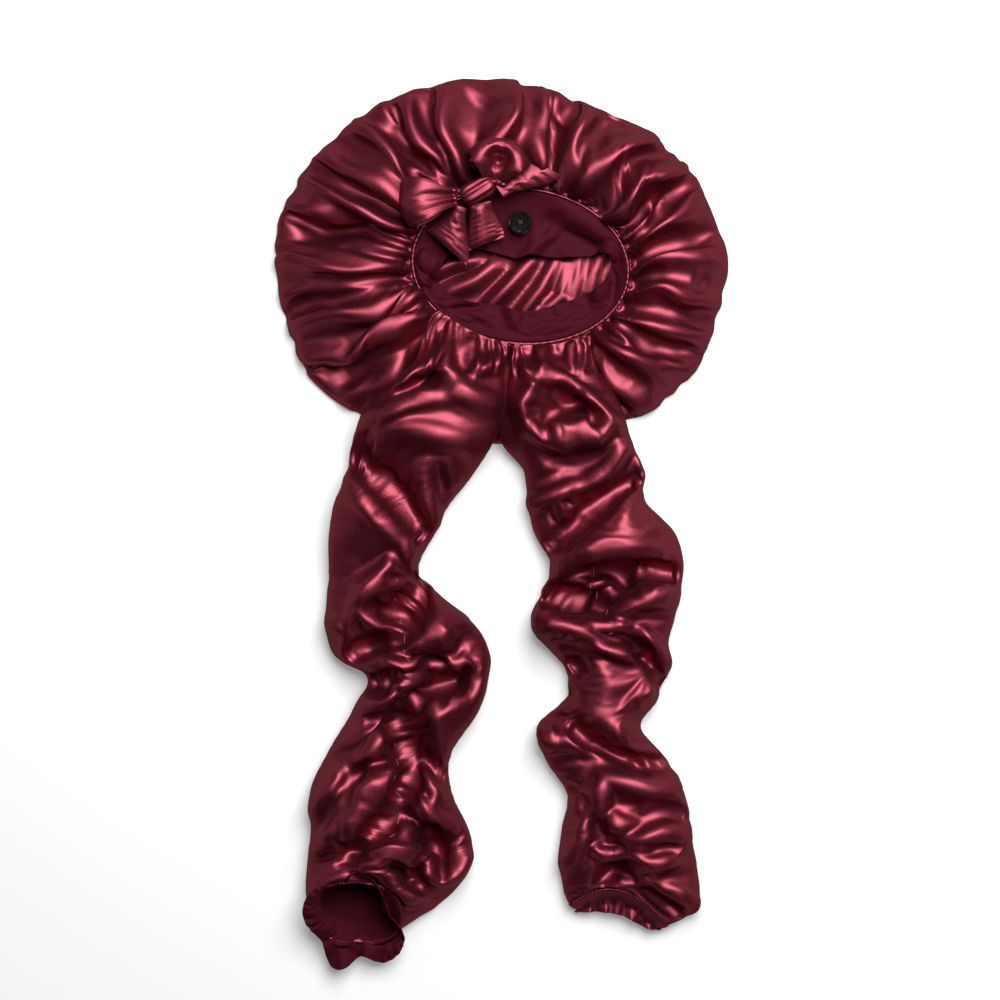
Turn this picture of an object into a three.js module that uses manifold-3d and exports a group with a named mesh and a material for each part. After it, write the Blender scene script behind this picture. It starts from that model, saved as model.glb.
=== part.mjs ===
// A satin sleep bonnet with two long ruched sleeves for braids, laid flat on a table with its opening up.
// Millimetres, +Z up, the table is z = 0, the bonnet's crown is towards +Y and the sleeves run towards -Y.
import * as THREE from "three";
import { mergeVertices } from "three/addons/utils/BufferGeometryUtils.js";
import Module from "manifold-3d";

// Driving dimensions
const CLOTH = 1.6; // wall of the doubled satin
const SEAM_GAP = 0.4; // between pieces that are sewn together
const CROWN = { x: 0, y: 213, crest: 34, pressedCrest: 12 };
const RIM = { x: 15, y: 206, halfWidth: 86, halfDepth: 61, turn: -6, height: 19, rise: 4, tubeRadius: 2.4 };
const BUTTON = { x: 15, y: 241, radius: 9.6, thick: 3.2, well: 6.9, wellDepth: 1.1, holeRadius: 1.1, holeSpacing: 3.4 };
const THREAD_RADIUS = 0.5;
const TURNS = 80; // columns round the crown
const SLEEVE_TURNS = 20; // columns round a sleeve

// Where the crown's outer fold lies, round its centre
const CROWN_EDGE = [
  { angle: 0, reach: 182 },
  { angle: 15, reach: 172 },
  { angle: 30, reach: 164 },
  { angle: 45, reach: 154 },
  { angle: 60, reach: 142 },
  { angle: 75, reach: 141 },
  { angle: 90, reach: 145 },
  { angle: 105, reach: 149 },
  { angle: 120, reach: 154 },
  { angle: 135, reach: 162 },
  { angle: 150, reach: 172 },
  { angle: 165, reach: 180 },
  { angle: 180, reach: 182 },
  { angle: 195, reach: 181 },
  { angle: 210, reach: 180 },
  { angle: 225, reach: 172 },
  { angle: 240, reach: 160 },
  { angle: 255, reach: 152 },
  { angle: 270, reach: 149 },
  { angle: 285, reach: 151 },
  { angle: 300, reach: 158 },
  { angle: 315, reach: 171 },
  { angle: 330, reach: 180 },
  { angle: 345, reach: 180 },
];

// The crown from its gathered rim out over the top, round the outer fold and back under to the middle.
// share is how far out a row lies, and its height is rim times the rim's height plus crest times the crest's.
const CROWN_ROWS = [
  { share: 0, rim: 1, crest: 0 },
  { share: 0.08, rim: 0.6, crest: 0.45 },
  { share: 0.2, rim: 0.15, crest: 0.85 },
  { share: 0.36, rim: 0, crest: 1 },
  { share: 0.54, rim: 0, crest: 0.98 },
  { share: 0.7, rim: 0, crest: 0.9 },
  { share: 0.84, rim: 0, crest: 0.74 },
  { share: 0.94, rim: 0, crest: 0.5 },
  { share: 1, rim: 0, crest: 0.22 },
  { share: 0.97, rim: 0, crest: 0.02 },
  { share: 0.9, rim: 0, crest: 0 },
  { share: 0.4, rim: 0, crest: 0 },
];

// Raised folds of the crown's top layer, each a straight crest seen from above, and the dents under the tie
const CROWN_FOLDS = [
  { x1: -41, y1: 277, x2: -73, y2: 338, height: 6, width: 9 },
  { x1: -30, y1: 280, x2: -34, y2: 351, height: 7, width: 8 },
  { x1: -82, y1: 274, x2: -116, y2: 322, height: 7, width: 10 },
  { x1: -88, y1: 242, x2: -146, y2: 297, height: 6, width: 8 },
  { x1: -75, y1: 227, x2: -158, y2: 281, height: 7, width: 8 },
  { x1: -73, y1: 201, x2: -176, y2: 229, height: 8, width: 11 },
  { x1: -71, y1: 182, x2: -160, y2: 195, height: 7, width: 8 },
  { x1: -62, y1: 170, x2: -146, y2: 166, height: 5, width: 8 },
  { x1: -76, y1: 162, x2: -165, y2: 143, height: 6, width: 9 },
  { x1: -48, y1: 151, x2: -112, y2: 100, height: 7, width: 8 },
  { x1: 10, y1: 299, x2: 6, y2: 355, height: 6, width: 8 },
  { x1: 28, y1: 296, x2: 34, y2: 345, height: 5, width: 7 },
  { x1: 43, y1: 270, x2: 62, y2: 320, height: 7, width: 8 },
  { x1: 51, y1: 267, x2: 118, y2: 314, height: 7, width: 8 },
  { x1: 69, y1: 255, x2: 158, y2: 276, height: 7, width: 9 },
  { x1: 112, y1: 214, x2: 154, y2: 246, height: 7, width: 8 },
  { x1: 106, y1: 189, x2: 178, y2: 199, height: 7, width: 8 },
  { x1: 92, y1: 167, x2: 168, y2: 153, height: 5, width: 8 },
  { x1: 80, y1: 147, x2: 132, y2: 115, height: 6, width: 9 },
  { x1: -36, y1: 258, x2: -78, y2: 252, height: -13, width: 24 },
  { x1: 0, y1: 276, x2: 20, y2: 306, height: -13, width: 24 },
  { x1: 8, y1: 266, x2: 44, y2: 274, height: -11, width: 18 },
];

// The free edge of the inner band, round the rim's centre: how far in it comes and how high it lies
const BAND_EDGE = [
  { angle: 0, reach: 74, height: 13 },
  { angle: 30, reach: 62, height: 13 },
  { angle: 60, reach: 20, height: 14 },
  { angle: 90, reach: 7, height: 14.5 },
  { angle: 120, reach: 14, height: 14 },
  { angle: 150, reach: 48, height: 12 },
  { angle: 180, reach: 61, height: 11 },
  { angle: 210, reach: 54, height: 10 },
  { angle: 240, reach: 36, height: 10 },
  { angle: 270, reach: 32, height: 10 },
  { angle: 300, reach: 38, height: 10 },
  { angle: 330, reach: 57, height: 10 },
];

// Sections of the two sleeves from the rim down to the cuffs. pitch lifts a section's mouth from facing along
// the table to facing up, bow lifts its middle towards +Y, and skew does so for its -X end.
const LEFT_SLEEVE = [
  { x: -22, y: 139, z: 24, half: 27, rise: 7, pitch: 0, bow: 0, skew: 0 },
  { x: -35, y: 122, z: 26, half: 38, rise: 9, pitch: 0, bow: 0, skew: 3 },
  { x: -50, y: 96, z: 31, half: 52, rise: 14, pitch: 0, bow: 0, skew: 5 },
  { x: -62, y: 68, z: 31, half: 55, rise: 14, pitch: 0, bow: 0, skew: 4 },
  { x: -74, y: 38, z: 18, half: 50, rise: 18, pitch: 0, bow: 0, skew: 0 },
  { x: -88, y: 14, z: 18, half: 45, rise: 18, pitch: 0, bow: 0, skew: 0 },
  { x: -96, y: -10, z: 17, half: 41, rise: 17, pitch: 0, bow: 0, skew: 0 },
  { x: -102, y: -36, z: 16, half: 35, rise: 16, pitch: 0, bow: 0, skew: 0 },
  { x: -96, y: -56, z: 18, half: 44, rise: 18, pitch: 0, bow: 0, skew: 0 },
  { x: -80, y: -84, z: 20, half: 60, rise: 20, pitch: 0, bow: 0, skew: 0 },
  { x: -72, y: -106, z: 19, half: 62, rise: 19, pitch: 0, bow: 0, skew: 0 },
  { x: -60, y: -124, z: 18, half: 48, rise: 18, pitch: 0, bow: 0, skew: 0 },
  { x: -70, y: -152, z: 18, half: 50, rise: 18, pitch: 0, bow: 0, skew: 0 },
  { x: -90, y: -184, z: 18, half: 49, rise: 18, pitch: 0, bow: 0, skew: 0 },
  { x: -97, y: -214, z: 20, half: 56, rise: 20, pitch: 0, bow: 0, skew: 0 },
  { x: -90, y: -246, z: 20, half: 63, rise: 20, pitch: 0, bow: 0, skew: 0 },
  { x: -89, y: -260, z: 19, half: 65, rise: 19, pitch: 6, bow: 0, skew: 0 },
  { x: -91, y: -274, z: 19, half: 65, rise: 20, pitch: 22, bow: 0, skew: 0 },
  { x: -97, y: -291, z: 19, half: 60, rise: 26, pitch: 42, bow: 0, skew: 0 },
  { x: -107, y: -301, z: 22, half: 49, rise: 29, pitch: 56, bow: 0, skew: 0 },
  { x: -116, y: -310, z: 26, half: 38, rise: 29, pitch: 66, bow: 0, skew: 0 },
];
const RIGHT_SLEEVE = [
  { x: 38, y: 139, z: 24, half: 27, rise: 7, pitch: 0, bow: 0, skew: 0 },
  { x: 42, y: 122, z: 26, half: 35, rise: 9, pitch: 0, bow: 0, skew: 0 },
  { x: 50, y: 96, z: 31, half: 44, rise: 14, pitch: 0, bow: 0, skew: 0 },
  { x: 58, y: 68, z: 31, half: 45, rise: 14, pitch: 0, bow: 0, skew: 0 },
  { x: 66, y: 38, z: 18, half: 47, rise: 18, pitch: 0, bow: 0, skew: 0 },
  { x: 68, y: 16, z: 18, half: 46, rise: 18, pitch: 0, bow: 0, skew: 0 },
  { x: 82, y: -6, z: 18, half: 56, rise: 18, pitch: 0, bow: 0, skew: 0 },
  { x: 92, y: -30, z: 18, half: 54, rise: 18, pitch: 0, bow: 0, skew: 0 },
  { x: 90, y: -52, z: 19, half: 54, rise: 19, pitch: 0, bow: 0, skew: 0 },
  { x: 82, y: -76, z: 19, half: 57, rise: 19, pitch: 0, bow: 0, skew: 0 },
  { x: 84, y: -96, z: 18, half: 50, rise: 18, pitch: 0, bow: 0, skew: 0 },
  { x: 93, y: -118, z: 17, half: 41, rise: 17, pitch: 0, bow: 0, skew: 0 },
  { x: 88, y: -142, z: 16, half: 37, rise: 16, pitch: 0, bow: 0, skew: 0 },
  { x: 71, y: -164, z: 17, half: 41, rise: 17, pitch: 0, bow: 0, skew: 0 },
  { x: 84, y: -190, z: 17, half: 48, rise: 17, pitch: 0, bow: 0, skew: 0 },
  { x: 100, y: -218, z: 17, half: 47, rise: 17, pitch: 0, bow: 0, skew: 0 },
  { x: 100, y: -246, z: 17, half: 51, rise: 17, pitch: 0, bow: 2, skew: 1 },
  { x: 102, y: -272, z: 16, half: 55, rise: 16, pitch: 0, bow: 8, skew: 3 },
  { x: 104, y: -302, z: 14, half: 54, rise: 13, pitch: 0, bow: 16, skew: 7 },
  { x: 94, y: -314, z: 12, half: 40, rise: 10, pitch: 0, bow: 22, skew: 9 },
];

// Raised folds across the sleeves, as on the crown
const SLEEVE_FOLDS = [
  { x1: -38, y1: 120, x2: -100, y2: 82, height: 6, width: 8 },
  { x1: -78, y1: 88, x2: -26, y2: 58, height: 5, width: 8 },
  { x1: -98, y1: 62, x2: -70, y2: 4, height: 5, width: 9 },
  { x1: -118, y1: 40, x2: -76, y2: -8, height: 6, width: 8 },
  { x1: -74, y1: -28, x2: -108, y2: -54, height: 6, width: 8 },
  { x1: -116, y1: -112, x2: -86, y2: -88, height: 6, width: 7 },
  { x1: -64, y1: -98, x2: -34, y2: -74, height: 6, width: 8 },
  { x1: -62, y1: -120, x2: -26, y2: -112, height: 7, width: 7 },
  { x1: -84, y1: -132, x2: -108, y2: -146, height: 6, width: 7 },
  { x1: -66, y1: -154, x2: -46, y2: -182, height: 6, width: 7 },
  { x1: -82, y1: -194, x2: -128, y2: -232, height: 7, width: 8 },
  { x1: -100, y1: -216, x2: -140, y2: -262, height: 6, width: 7 },
  { x1: -76, y1: -222, x2: -36, y2: -246, height: 6, width: 9 },
  { x1: -94, y1: -256, x2: -54, y2: -314, height: 7, width: 9 },
  { x1: 42, y1: 112, x2: 94, y2: 78, height: 6, width: 8 },
  { x1: 24, y1: 76, x2: 90, y2: 72, height: 4, width: 10 },
  { x1: 98, y1: 62, x2: 54, y2: 10, height: 6, width: 10 },
  { x1: 108, y1: 30, x2: 52, y2: -26, height: 6, width: 7 },
  { x1: 54, y1: -34, x2: 128, y2: -30, height: 6, width: 8 },
  { x1: 34, y1: -70, x2: 86, y2: -74, height: 7, width: 8 },
  { x1: 88, y1: -74, x2: 138, y2: -58, height: 6, width: 8 },
  { x1: 34, y1: -90, x2: 102, y2: -104, height: 7, width: 8 },
  { x1: 88, y1: -76, x2: 130, y2: -112, height: 6, width: 7 },
  { x1: 118, y1: -124, x2: 98, y2: -168, height: 5, width: 9 },
  { x1: 36, y1: -166, x2: 64, y2: -168, height: 6, width: 8 },
  { x1: 78, y1: -204, x2: 134, y2: -208, height: 6, width: 9 },
  { x1: 78, y1: -206, x2: 100, y2: -254, height: 5, width: 9 },
  { x1: 104, y1: -250, x2: 142, y2: -244, height: 6, width: 9 },
  { x1: 66, y1: -236, x2: 56, y2: -286, height: 6, width: 9 },
];

// The tie's loops and tails, each from where it leaves the knot
const BOW = {
  knot: { x: -19, y: 264, z: 38, length: 27, radius: 6.5, turn: 27 },
  leftLoop: { x: -35, y: 258, z: 39, reach: 47, turn: 188, nearHalf: 7, farHalf: 20, thick: 15, lift: 6 },
  rightLoop: { x: 0, y: 271, z: 41, reach: 42, turn: 62, nearHalf: 8, farHalf: 21, thick: 17, lift: 6 },
  leftTail: { x: -32, y: 250, z: 31, reach: 36, turn: 258, nearHalf: 6, farHalf: 22, drop: 4 },
  middleTail: { x: -16, y: 254, z: 30, reach: 30, turn: 285, nearHalf: 10, farHalf: 15, drop: 5 },
  rightTail: { x: 6, y: 262, z: 37, reach: 38, turn: 12, nearHalf: 7, farHalf: 15, drop: 2 },
};

const SATIN = { color: 0x7a2335, roughness: 0.34, metalness: 0 };
const BAND_CLOTH = { color: 0x4a161d, roughness: 0.7, metalness: 0 };
const BUTTON_RESIN = { color: 0x0c0a0b, roughness: 0.18, metalness: 0 };
const THREAD_COTTON = { color: 0x1c1012, roughness: 0.8, metalness: 0 };

const radians = THREE.MathUtils.degToRad;
const mix = THREE.MathUtils.lerp;
const smooth = THREE.MathUtils.smoothstep;

// The rows of a table that goes once round, blended smoothly at an angle in degrees
function roundTable(rows, column, angle) {
  const count = rows.length;
  const at = (((angle % 360) + 360) % 360) / (360 / count);
  const i = Math.floor(at);
  const [a, b, c, d] = [-1, 0, 1, 2].map((k) => rows[(i + k + count) % count][column]);
  const f = at - i;
  return b + 0.5 * f * (c - a + f * (2 * a - 5 * b + 4 * c - d + f * (3 * (b - c) + d - a)));
}

// The height that a table of straight folds and dents adds over a point of the plan
function foldHeight(folds, x, y) {
  let raised = 0;
  let sunk = 0;
  for (const fold of folds) {
    const dx = fold.x2 - fold.x1;
    const dy = fold.y2 - fold.y1;
    const along = THREE.MathUtils.clamp(((x - fold.x1) * dx + (y - fold.y1) * dy) / (dx * dx + dy * dy), 0, 1);
    const off = Math.hypot(x - fold.x1 - along * dx, y - fold.y1 - along * dy) / fold.width;
    raised = Math.max(raised, fold.height * Math.exp(-off * off));
    sunk = Math.min(sunk, fold.height * Math.exp(-off * off));
  }
  return raised + sunk;
}

// A closed geometry of points and quads, each quad four indices into the points
function geometryOf(points, quads) {
  const geometry = new THREE.BufferGeometry().setFromPoints(points);
  geometry.setIndex(quads.flatMap(([a, b, c, d]) => (c === d ? [a, b, c] : [a, b, c, a, c, d])));
  geometry.computeVertexNormals();
  return geometry;
}

// The unit normals of a grid whose columns close on themselves
function gridNormals(rows) {
  const count = rows[0].length;
  return rows.map((row, i) =>
    row.map((point, j) => {
      const around = row[(j + 1) % count].clone().sub(row[(j + count - 1) % count]);
      const after = rows[Math.min(i + 1, rows.length - 1)][j];
      const before = rows[Math.max(i - 1, 0)][j];
      return around.cross(after.clone().sub(before)).normalize();
    }),
  );
}

// A cloth wall: the rows are its outer face, and a pole closes the last row
function clothWall(rows, wall, pole) {
  const normals = gridNormals(rows);
  const inner = rows.map((row, i) => row.map((point, j) => point.clone().addScaledVector(normals[i][j], -wall)));
  const count = rows[0].length;
  const points = [...rows.flat(), ...inner.flat()];
  const inside = rows.length * count;
  const quads = [];
  const last = rows.length - 1;
  for (let j = 0; j < count; j++) {
    const k = (j + 1) % count;
    for (let i = 0; i < last; i++) {
      const [a, b] = [i * count, (i + 1) * count];
      quads.push([a + j, a + k, b + k, b + j]);
      quads.push([inside + a + j, inside + b + j, inside + b + k, inside + a + k]);
    }
    quads.push([j, inside + j, inside + k, k]);
    const end = last * count;
    if (pole) {
      quads.push([end + j, end + k, points.length, points.length]);
      quads.push([inside + end + k, inside + end + j, points.length + 1, points.length + 1]);
    } else {
      quads.push([end + j, end + k, inside + end + k, inside + end + j]);
    }
  }
  if (pole) points.push(pole, pole.clone().setZ(pole.z + wall));
  return geometryOf(points, quads);
}

// A closed ring: both its columns and its rows close on themselves
function ring(rows) {
  const count = rows[0].length;
  const quads = [];
  rows.forEach((row, i) => {
    const [a, b] = [i * count, ((i + 1) % rows.length) * count];
    row.forEach((_, j) => {
      const k = (j + 1) % count;
      quads.push([a + j, a + k, b + k, b + j]);
    });
  });
  return geometryOf(rows.flat(), quads);
}

// A flat strip of cloth: open rows of points, given a thickness
function clothStrip(rows, wall) {
  const [height, width] = [rows.length, rows[0].length];
  const normals = rows.map((row, i) =>
    row.map((point, j) => {
      const across = row[Math.min(j + 1, width - 1)].clone().sub(row[Math.max(j - 1, 0)]);
      const along = rows[Math.min(i + 1, height - 1)][j].clone().sub(rows[Math.max(i - 1, 0)][j]);
      return across.cross(along).normalize();
    }),
  );
  const face = (side) =>
    rows.flatMap((row, i) => row.map((point, j) => point.clone().addScaledVector(normals[i][j], (side * wall) / 2)));
  const under = height * width;
  const quads = [];
  for (let i = 0; i < height - 1; i++) {
    for (let j = 0; j < width - 1; j++) {
      const a = i * width + j;
      quads.push([a, a + 1, a + width + 1, a + width]);
      quads.push([under + a, under + a + width, under + a + width + 1, under + a + 1]);
    }
    const [left, right] = [i * width, i * width + width - 1];
    quads.push([left, left + width, under + left + width, under + left]);
    quads.push([right, under + right, under + right + width, right + width]);
  }
  for (let j = 0; j < width - 1; j++) {
    const end = (height - 1) * width + j;
    quads.push([j, under + j, under + j + 1, j + 1]);
    quads.push([end, end + 1, under + end + 1, under + end]);
  }
  return geometryOf([...face(1), ...face(-1)], quads);
}

// A point of the gathered rim's centre line, spread outwards by out
function rimPoint(angle, out = 0) {
  const [c, s] = [Math.cos(radians(angle)), Math.sin(radians(angle))];
  const across = new THREE.Vector2((RIM.halfWidth + out) * c, (RIM.halfDepth + out) * s);
  across.rotateAround(new THREE.Vector2(0, 0), radians(RIM.turn));
  return new THREE.Vector3(RIM.x + across.x, RIM.y + across.y, RIM.height + RIM.rise * s);
}

// How far the sleeves' weight presses the crown at an angle, 0 to 1
function pressed(angle) {
  const off = Math.abs((((angle - 269) % 360) + 540) % 360 - 180);
  return 1 - smooth(off, 33, 50);
}

function crown() {
  const rows = CROWN_ROWS.map((row, i) =>
    Array.from({ length: TURNS }, (_, j) => {
      const angle = -(360 / TURNS) * j;
      const start = rimPoint(angle, RIM.tubeRadius + SEAM_GAP);
      const reach = roundTable(CROWN_EDGE, "reach", angle);
      const edge = new THREE.Vector2(
        CROWN.x + reach * Math.cos(radians(angle)),
        CROWN.y + reach * Math.sin(radians(angle)),
      );
      const under = i > CROWN_ROWS.findIndex((r) => r.share === 1);
      const [fromX, fromY] = under ? [CROWN.x, CROWN.y] : [start.x, start.y];
      const [x, y] = [mix(fromX, edge.x, row.share), mix(fromY, edge.y, row.share)];
      const crest = mix(CROWN.crest, CROWN.pressedCrest, pressed(angle));
      const open = smooth(row.share, 0.02, 0.2) * (1 - smooth(row.share, 0.8, 1));
      const fold = under ? 0 : open * foldHeight(CROWN_FOLDS, x, y) * (1 - pressed(angle));
      return new THREE.Vector3(x, y, row.rim * start.z + row.crest * crest + fold);
    }),
  );
  return clothWall(rows, CLOTH, new THREE.Vector3(CROWN.x, CROWN.y, 0));
}

function elasticRim() {
  const sides = 6;
  const rows = Array.from({ length: 44 }, (_, i) => {
    const angle = (360 / 44) * i;
    return Array.from({ length: sides }, (_, j) => {
      const round = (2 * Math.PI * j) / sides;
      const point = rimPoint(angle, RIM.tubeRadius * Math.cos(round));
      point.z -= RIM.tubeRadius * Math.sin(round);
      return point;
    });
  });
  return ring(rows);
}

// The band turned in from the rim: shares 0 at the rim to 1 at its free edge
function bandPoint(angle, share) {
  const start = rimPoint(angle, -RIM.tubeRadius - SEAM_GAP);
  const reach = roundTable(BAND_EDGE, "reach", angle);
  const end = new THREE.Vector3(
    RIM.x + reach * Math.cos(radians(angle)),
    RIM.y + reach * Math.sin(radians(angle)),
    roundTable(BAND_EDGE, "height", angle),
  );
  return start.lerp(end, share);
}

function innerBand() {
  const columns = 44;
  const rows = [1, 0.66, 0.33, 0].map((share) =>
    Array.from({ length: columns }, (_, j) => bandPoint(-(360 / columns) * j, share)),
  );
  return clothWall(rows, CLOTH, null);
}

// A row of a sleeve: a flattened loop square to the way the sleeve runs, resting on the table where it is low
function sleeveRow(section, folds) {
  const { x, y, z, half, rise, pitch, bow, skew } = section;
  const up = new THREE.Vector3(0, Math.sin(radians(pitch)), Math.cos(radians(pitch)));
  return Array.from({ length: SLEEVE_TURNS }, (_, j) => {
    const turn = (2 * Math.PI * j) / SLEEVE_TURNS;
    const [c, s] = [Math.cos(turn), Math.sin(turn)];
    const across = Math.sign(c) * Math.abs(c) ** 0.8;
    const point = new THREE.Vector3(x + half * across, y, z);
    point.addScaledVector(up, rise * Math.sign(s) * Math.abs(s) ** 0.85);
    point.y += bow * (1 - across * across) - skew * across;
    if (s > 0.1) point.z += foldHeight(folds, point.x, point.y) * smooth(s, 0.1, 0.6);
    point.z = Math.max(point.z, 0);
    return point;
  });
}

function sleeve(sections) {
  return clothWall(sections.map((section) => sleeveRow(section, SLEEVE_FOLDS)), CLOTH, null);
}

// A cuff carries on from its sleeve's last section, drawn in to the elastic and flared again past it
function cuff(sections, rows) {
  const end = sections.at(-1);
  const way = new THREE.Vector3(0, -Math.cos(radians(end.pitch)), Math.sin(radians(end.pitch)));
  return clothWall(
    rows.map(({ on, drawn }) => {
      const section = { ...end, half: end.half - drawn, rise: end.rise - drawn };
      return sleeveRow(section, []).map((point) => point.addScaledVector(way, on + CLOTH + SEAM_GAP));
    }),
    CLOTH,
    null,
  );
}

const LEFT_CUFF_ROWS = [
  { on: 0, drawn: 0 },
  { on: 4, drawn: 3 },
  { on: 8, drawn: 3 },
  { on: 12, drawn: -4 },
  { on: 14, drawn: -10 },
];
const RIGHT_CUFF_ROWS = [
  { on: 0, drawn: 0 },
  { on: 7, drawn: 2 },
  { on: 13, drawn: 2 },
  { on: 18, drawn: 0 },
];

// A loop of the tie: a ribbon that leaves the knot, rounds over and comes back under itself
function bowLoop({ reach, nearHalf, farHalf, thick, lift }) {
  const steps = 16;
  const rows = [-1, -0.6, -0.2, 0.2, 0.6, 1].map((side) =>
    Array.from({ length: steps }, (_, j) => {
      const turn = (2 * Math.PI * j) / steps;
      const out = 0.5 - 0.5 * Math.cos(turn);
      const half = mix(nearHalf, farHalf, out);
      const swell = 0.3 + 0.7 * out;
      return new THREE.Vector3(
        reach * out * (1 - 0.08 * side * side),
        side * half,
        lift * out + (thick / 2) * Math.sin(turn) * swell,
      );
    }),
  );
  return clothWall(rows.reverse(), CLOTH, null);
}

// A tail of the tie: a single ribbon that widens to its slanting cut end
function bowTail({ reach, nearHalf, farHalf, drop }) {
  const rows = [0, 0.2, 0.4, 0.6, 0.8, 1].map((share) =>
    [-1, -0.5, 0, 0.5, 1].map(
      (side) =>
        new THREE.Vector3(
          reach * share * (1 + 0.15 * side),
          side * mix(nearHalf, farHalf, share),
          -drop * share * share + 2.5 * share * Math.cos(Math.PI * side),
        ),
    ),
  );
  return clothStrip(rows, CLOTH);
}

// The knot: a wound barrel of cloth, drawn in at its ends
function bowKnot({ length, radius }) {
  const profile = [
    { along: -0.5, wide: 0 },
    { along: -0.5, wide: 0.7 },
    { along: -0.34, wide: 1 },
    { along: 0, wide: 0.92 },
    { along: 0.34, wide: 1 },
    { along: 0.5, wide: 0.7 },
    { along: 0.5, wide: 0 },
  ];
  const geometry = new THREE.LatheGeometry(
    profile.map(({ along, wide }) => new THREE.Vector2(radius * wide, length * along)),
    14,
  );
  return geometry.rotateZ(-Math.PI / 2);
}

const wasm = await Module();
wasm.setup();

// A closed geometry as a manifold solid, for a cut or a join
function solidOf(geometry) {
  const bare = geometry.clone();
  bare.deleteAttribute("normal");
  bare.deleteAttribute("uv");
  const merged = mergeVertices(bare, 1e-4);
  const vertProperties = merged.attributes.position.array;
  return new wasm.Manifold(new wasm.Mesh({ numProp: 3, vertProperties, triVerts: new Uint32Array(merged.index.array) }));
}

function geometryFrom(solid) {
  const mesh = solid.getMesh();
  const geometry = new THREE.BufferGeometry();
  geometry.setAttribute("position", new THREE.BufferAttribute(mesh.vertProperties, 3));
  geometry.setIndex(new THREE.BufferAttribute(mesh.triVerts, 1));
  geometry.computeVertexNormals();
  return geometry;
}

const HOLES = [
  { x: 1, y: 1 },
  { x: -1, y: 1 },
  { x: -1, y: -1 },
  { x: 1, y: -1 },
].map(({ x, y }) => new THREE.Vector2((x * BUTTON.holeSpacing) / 2, (y * BUTTON.holeSpacing) / 2));

// A dished resin button with a raised rim and four holes
function buttonBody() {
  const { radius, thick, well, wellDepth, holeRadius } = BUTTON;
  const profile = [
    [0, 0],
    [radius * 0.8, 0],
    [radius, thick * 0.4],
    [radius * 0.96, thick * 0.85],
    [radius * 0.88, thick],
    [well + 0.5, thick],
    [well, thick - wellDepth],
    [0, thick - wellDepth * 1.3],
  ].map(([r, h]) => new THREE.Vector2(r, h));
  let body = solidOf(new THREE.LatheGeometry(profile, 28).rotateX(Math.PI / 2));
  for (const hole of HOLES) {
    const drill = new THREE.CylinderGeometry(holeRadius, holeRadius, 4 * thick, 8).rotateX(Math.PI / 2);
    body = body.subtract(solidOf(drill.translate(hole.x, hole.y, 0)));
  }
  return geometryFrom(body);
}

// The crossed stitches that hold the button, sunk in its holes
function buttonThread() {
  const floor = BUTTON.thick - BUTTON.wellDepth * 1.3;
  const section = new THREE.Shape().absarc(0, 0, THREAD_RADIUS, 0, 2 * Math.PI);
  const stitches = [
    [HOLES[0], HOLES[2]],
    [HOLES[1], HOLES[3]],
  ].map(([from, to]) => {
    const path = new THREE.CatmullRomCurve3([
      new THREE.Vector3(from.x, from.y, 0.4),
      new THREE.Vector3(from.x, from.y, floor),
      new THREE.Vector3(from.x * 0.6, from.y * 0.6, floor + 1.2),
      new THREE.Vector3(0, 0, floor + 1.4),
      new THREE.Vector3(to.x * 0.6, to.y * 0.6, floor + 1.2),
      new THREE.Vector3(to.x, to.y, floor),
      new THREE.Vector3(to.x, to.y, 0.4),
    ]);
    return solidOf(new THREE.ExtrudeGeometry(section, { extrudePath: path, steps: 14, curveSegments: 3 }));
  });
  return geometryFrom(stitches[0].add(stitches[1]));
}

function mesh(name, geometry, material) {
  const made = new THREE.Mesh(geometry, new THREE.MeshStandardMaterial(material));
  made.name = name;
  return made;
}

// A piece of the tie, put where it leaves the knot and turned the way it lies
function bowPiece(name, geometry, { x, y, z, turn }) {
  const piece = mesh(name, geometry, SATIN);
  piece.position.set(x, y, z);
  piece.rotation.z = radians(turn);
  return piece;
}

// The button lies on the band, leaning as the band does there
function buttonGroup() {
  const [above, below] = [bandPoint(90, 0.25), bandPoint(90, 0.7)];
  const group = new THREE.Group();
  const share = (BUTTON.y - below.y) / (above.y - below.y);
  group.position.set(BUTTON.x, BUTTON.y, mix(below.z, above.z, share) + CLOTH + SEAM_GAP);
  group.rotation.x = Math.atan2(above.z - below.z, above.y - below.y);
  group.add(mesh("button", buttonBody(), BUTTON_RESIN));
  group.add(mesh("button_thread", buttonThread(), THREAD_COTTON));
  return group;
}

const bonnet = new THREE.Group();
bonnet.add(
  mesh("crown", crown(), SATIN),
  mesh("elastic_rim", elasticRim(), SATIN),
  mesh("inner_band", innerBand(), BAND_CLOTH),
  buttonGroup(),
  mesh("left_sleeve", sleeve(LEFT_SLEEVE), SATIN),
  mesh("right_sleeve", sleeve(RIGHT_SLEEVE), SATIN),
  mesh("left_cuff", cuff(LEFT_SLEEVE, LEFT_CUFF_ROWS), SATIN),
  mesh("right_cuff", cuff(RIGHT_SLEEVE, RIGHT_CUFF_ROWS), SATIN),
  bowPiece("bow_knot", bowKnot(BOW.knot), BOW.knot),
  bowPiece("bow_left_loop", bowLoop(BOW.leftLoop), BOW.leftLoop),
  bowPiece("bow_right_loop", bowLoop(BOW.rightLoop), BOW.rightLoop),
  bowPiece("bow_left_tail", bowTail(BOW.leftTail), BOW.leftTail),
  bowPiece("bow_middle_tail", bowTail(BOW.middleTail), BOW.middleTail),
  bowPiece("bow_right_tail", bowTail(BOW.rightTail), BOW.rightTail),
);

// The origin is the middle of the underside
const span = new THREE.Box3().setFromObject(bonnet, true);
const middle = span.getCenter(new THREE.Vector3());
bonnet.position.set(-middle.x, -middle.y, -span.min.z);

export default bonnet;
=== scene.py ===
"""A satin sleep bonnet with two ruched braid sleeves, laid flat with its head opening up.

Every surface is worked out in millimetres as whole numpy grids and put into its mesh in metres.
"""

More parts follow.
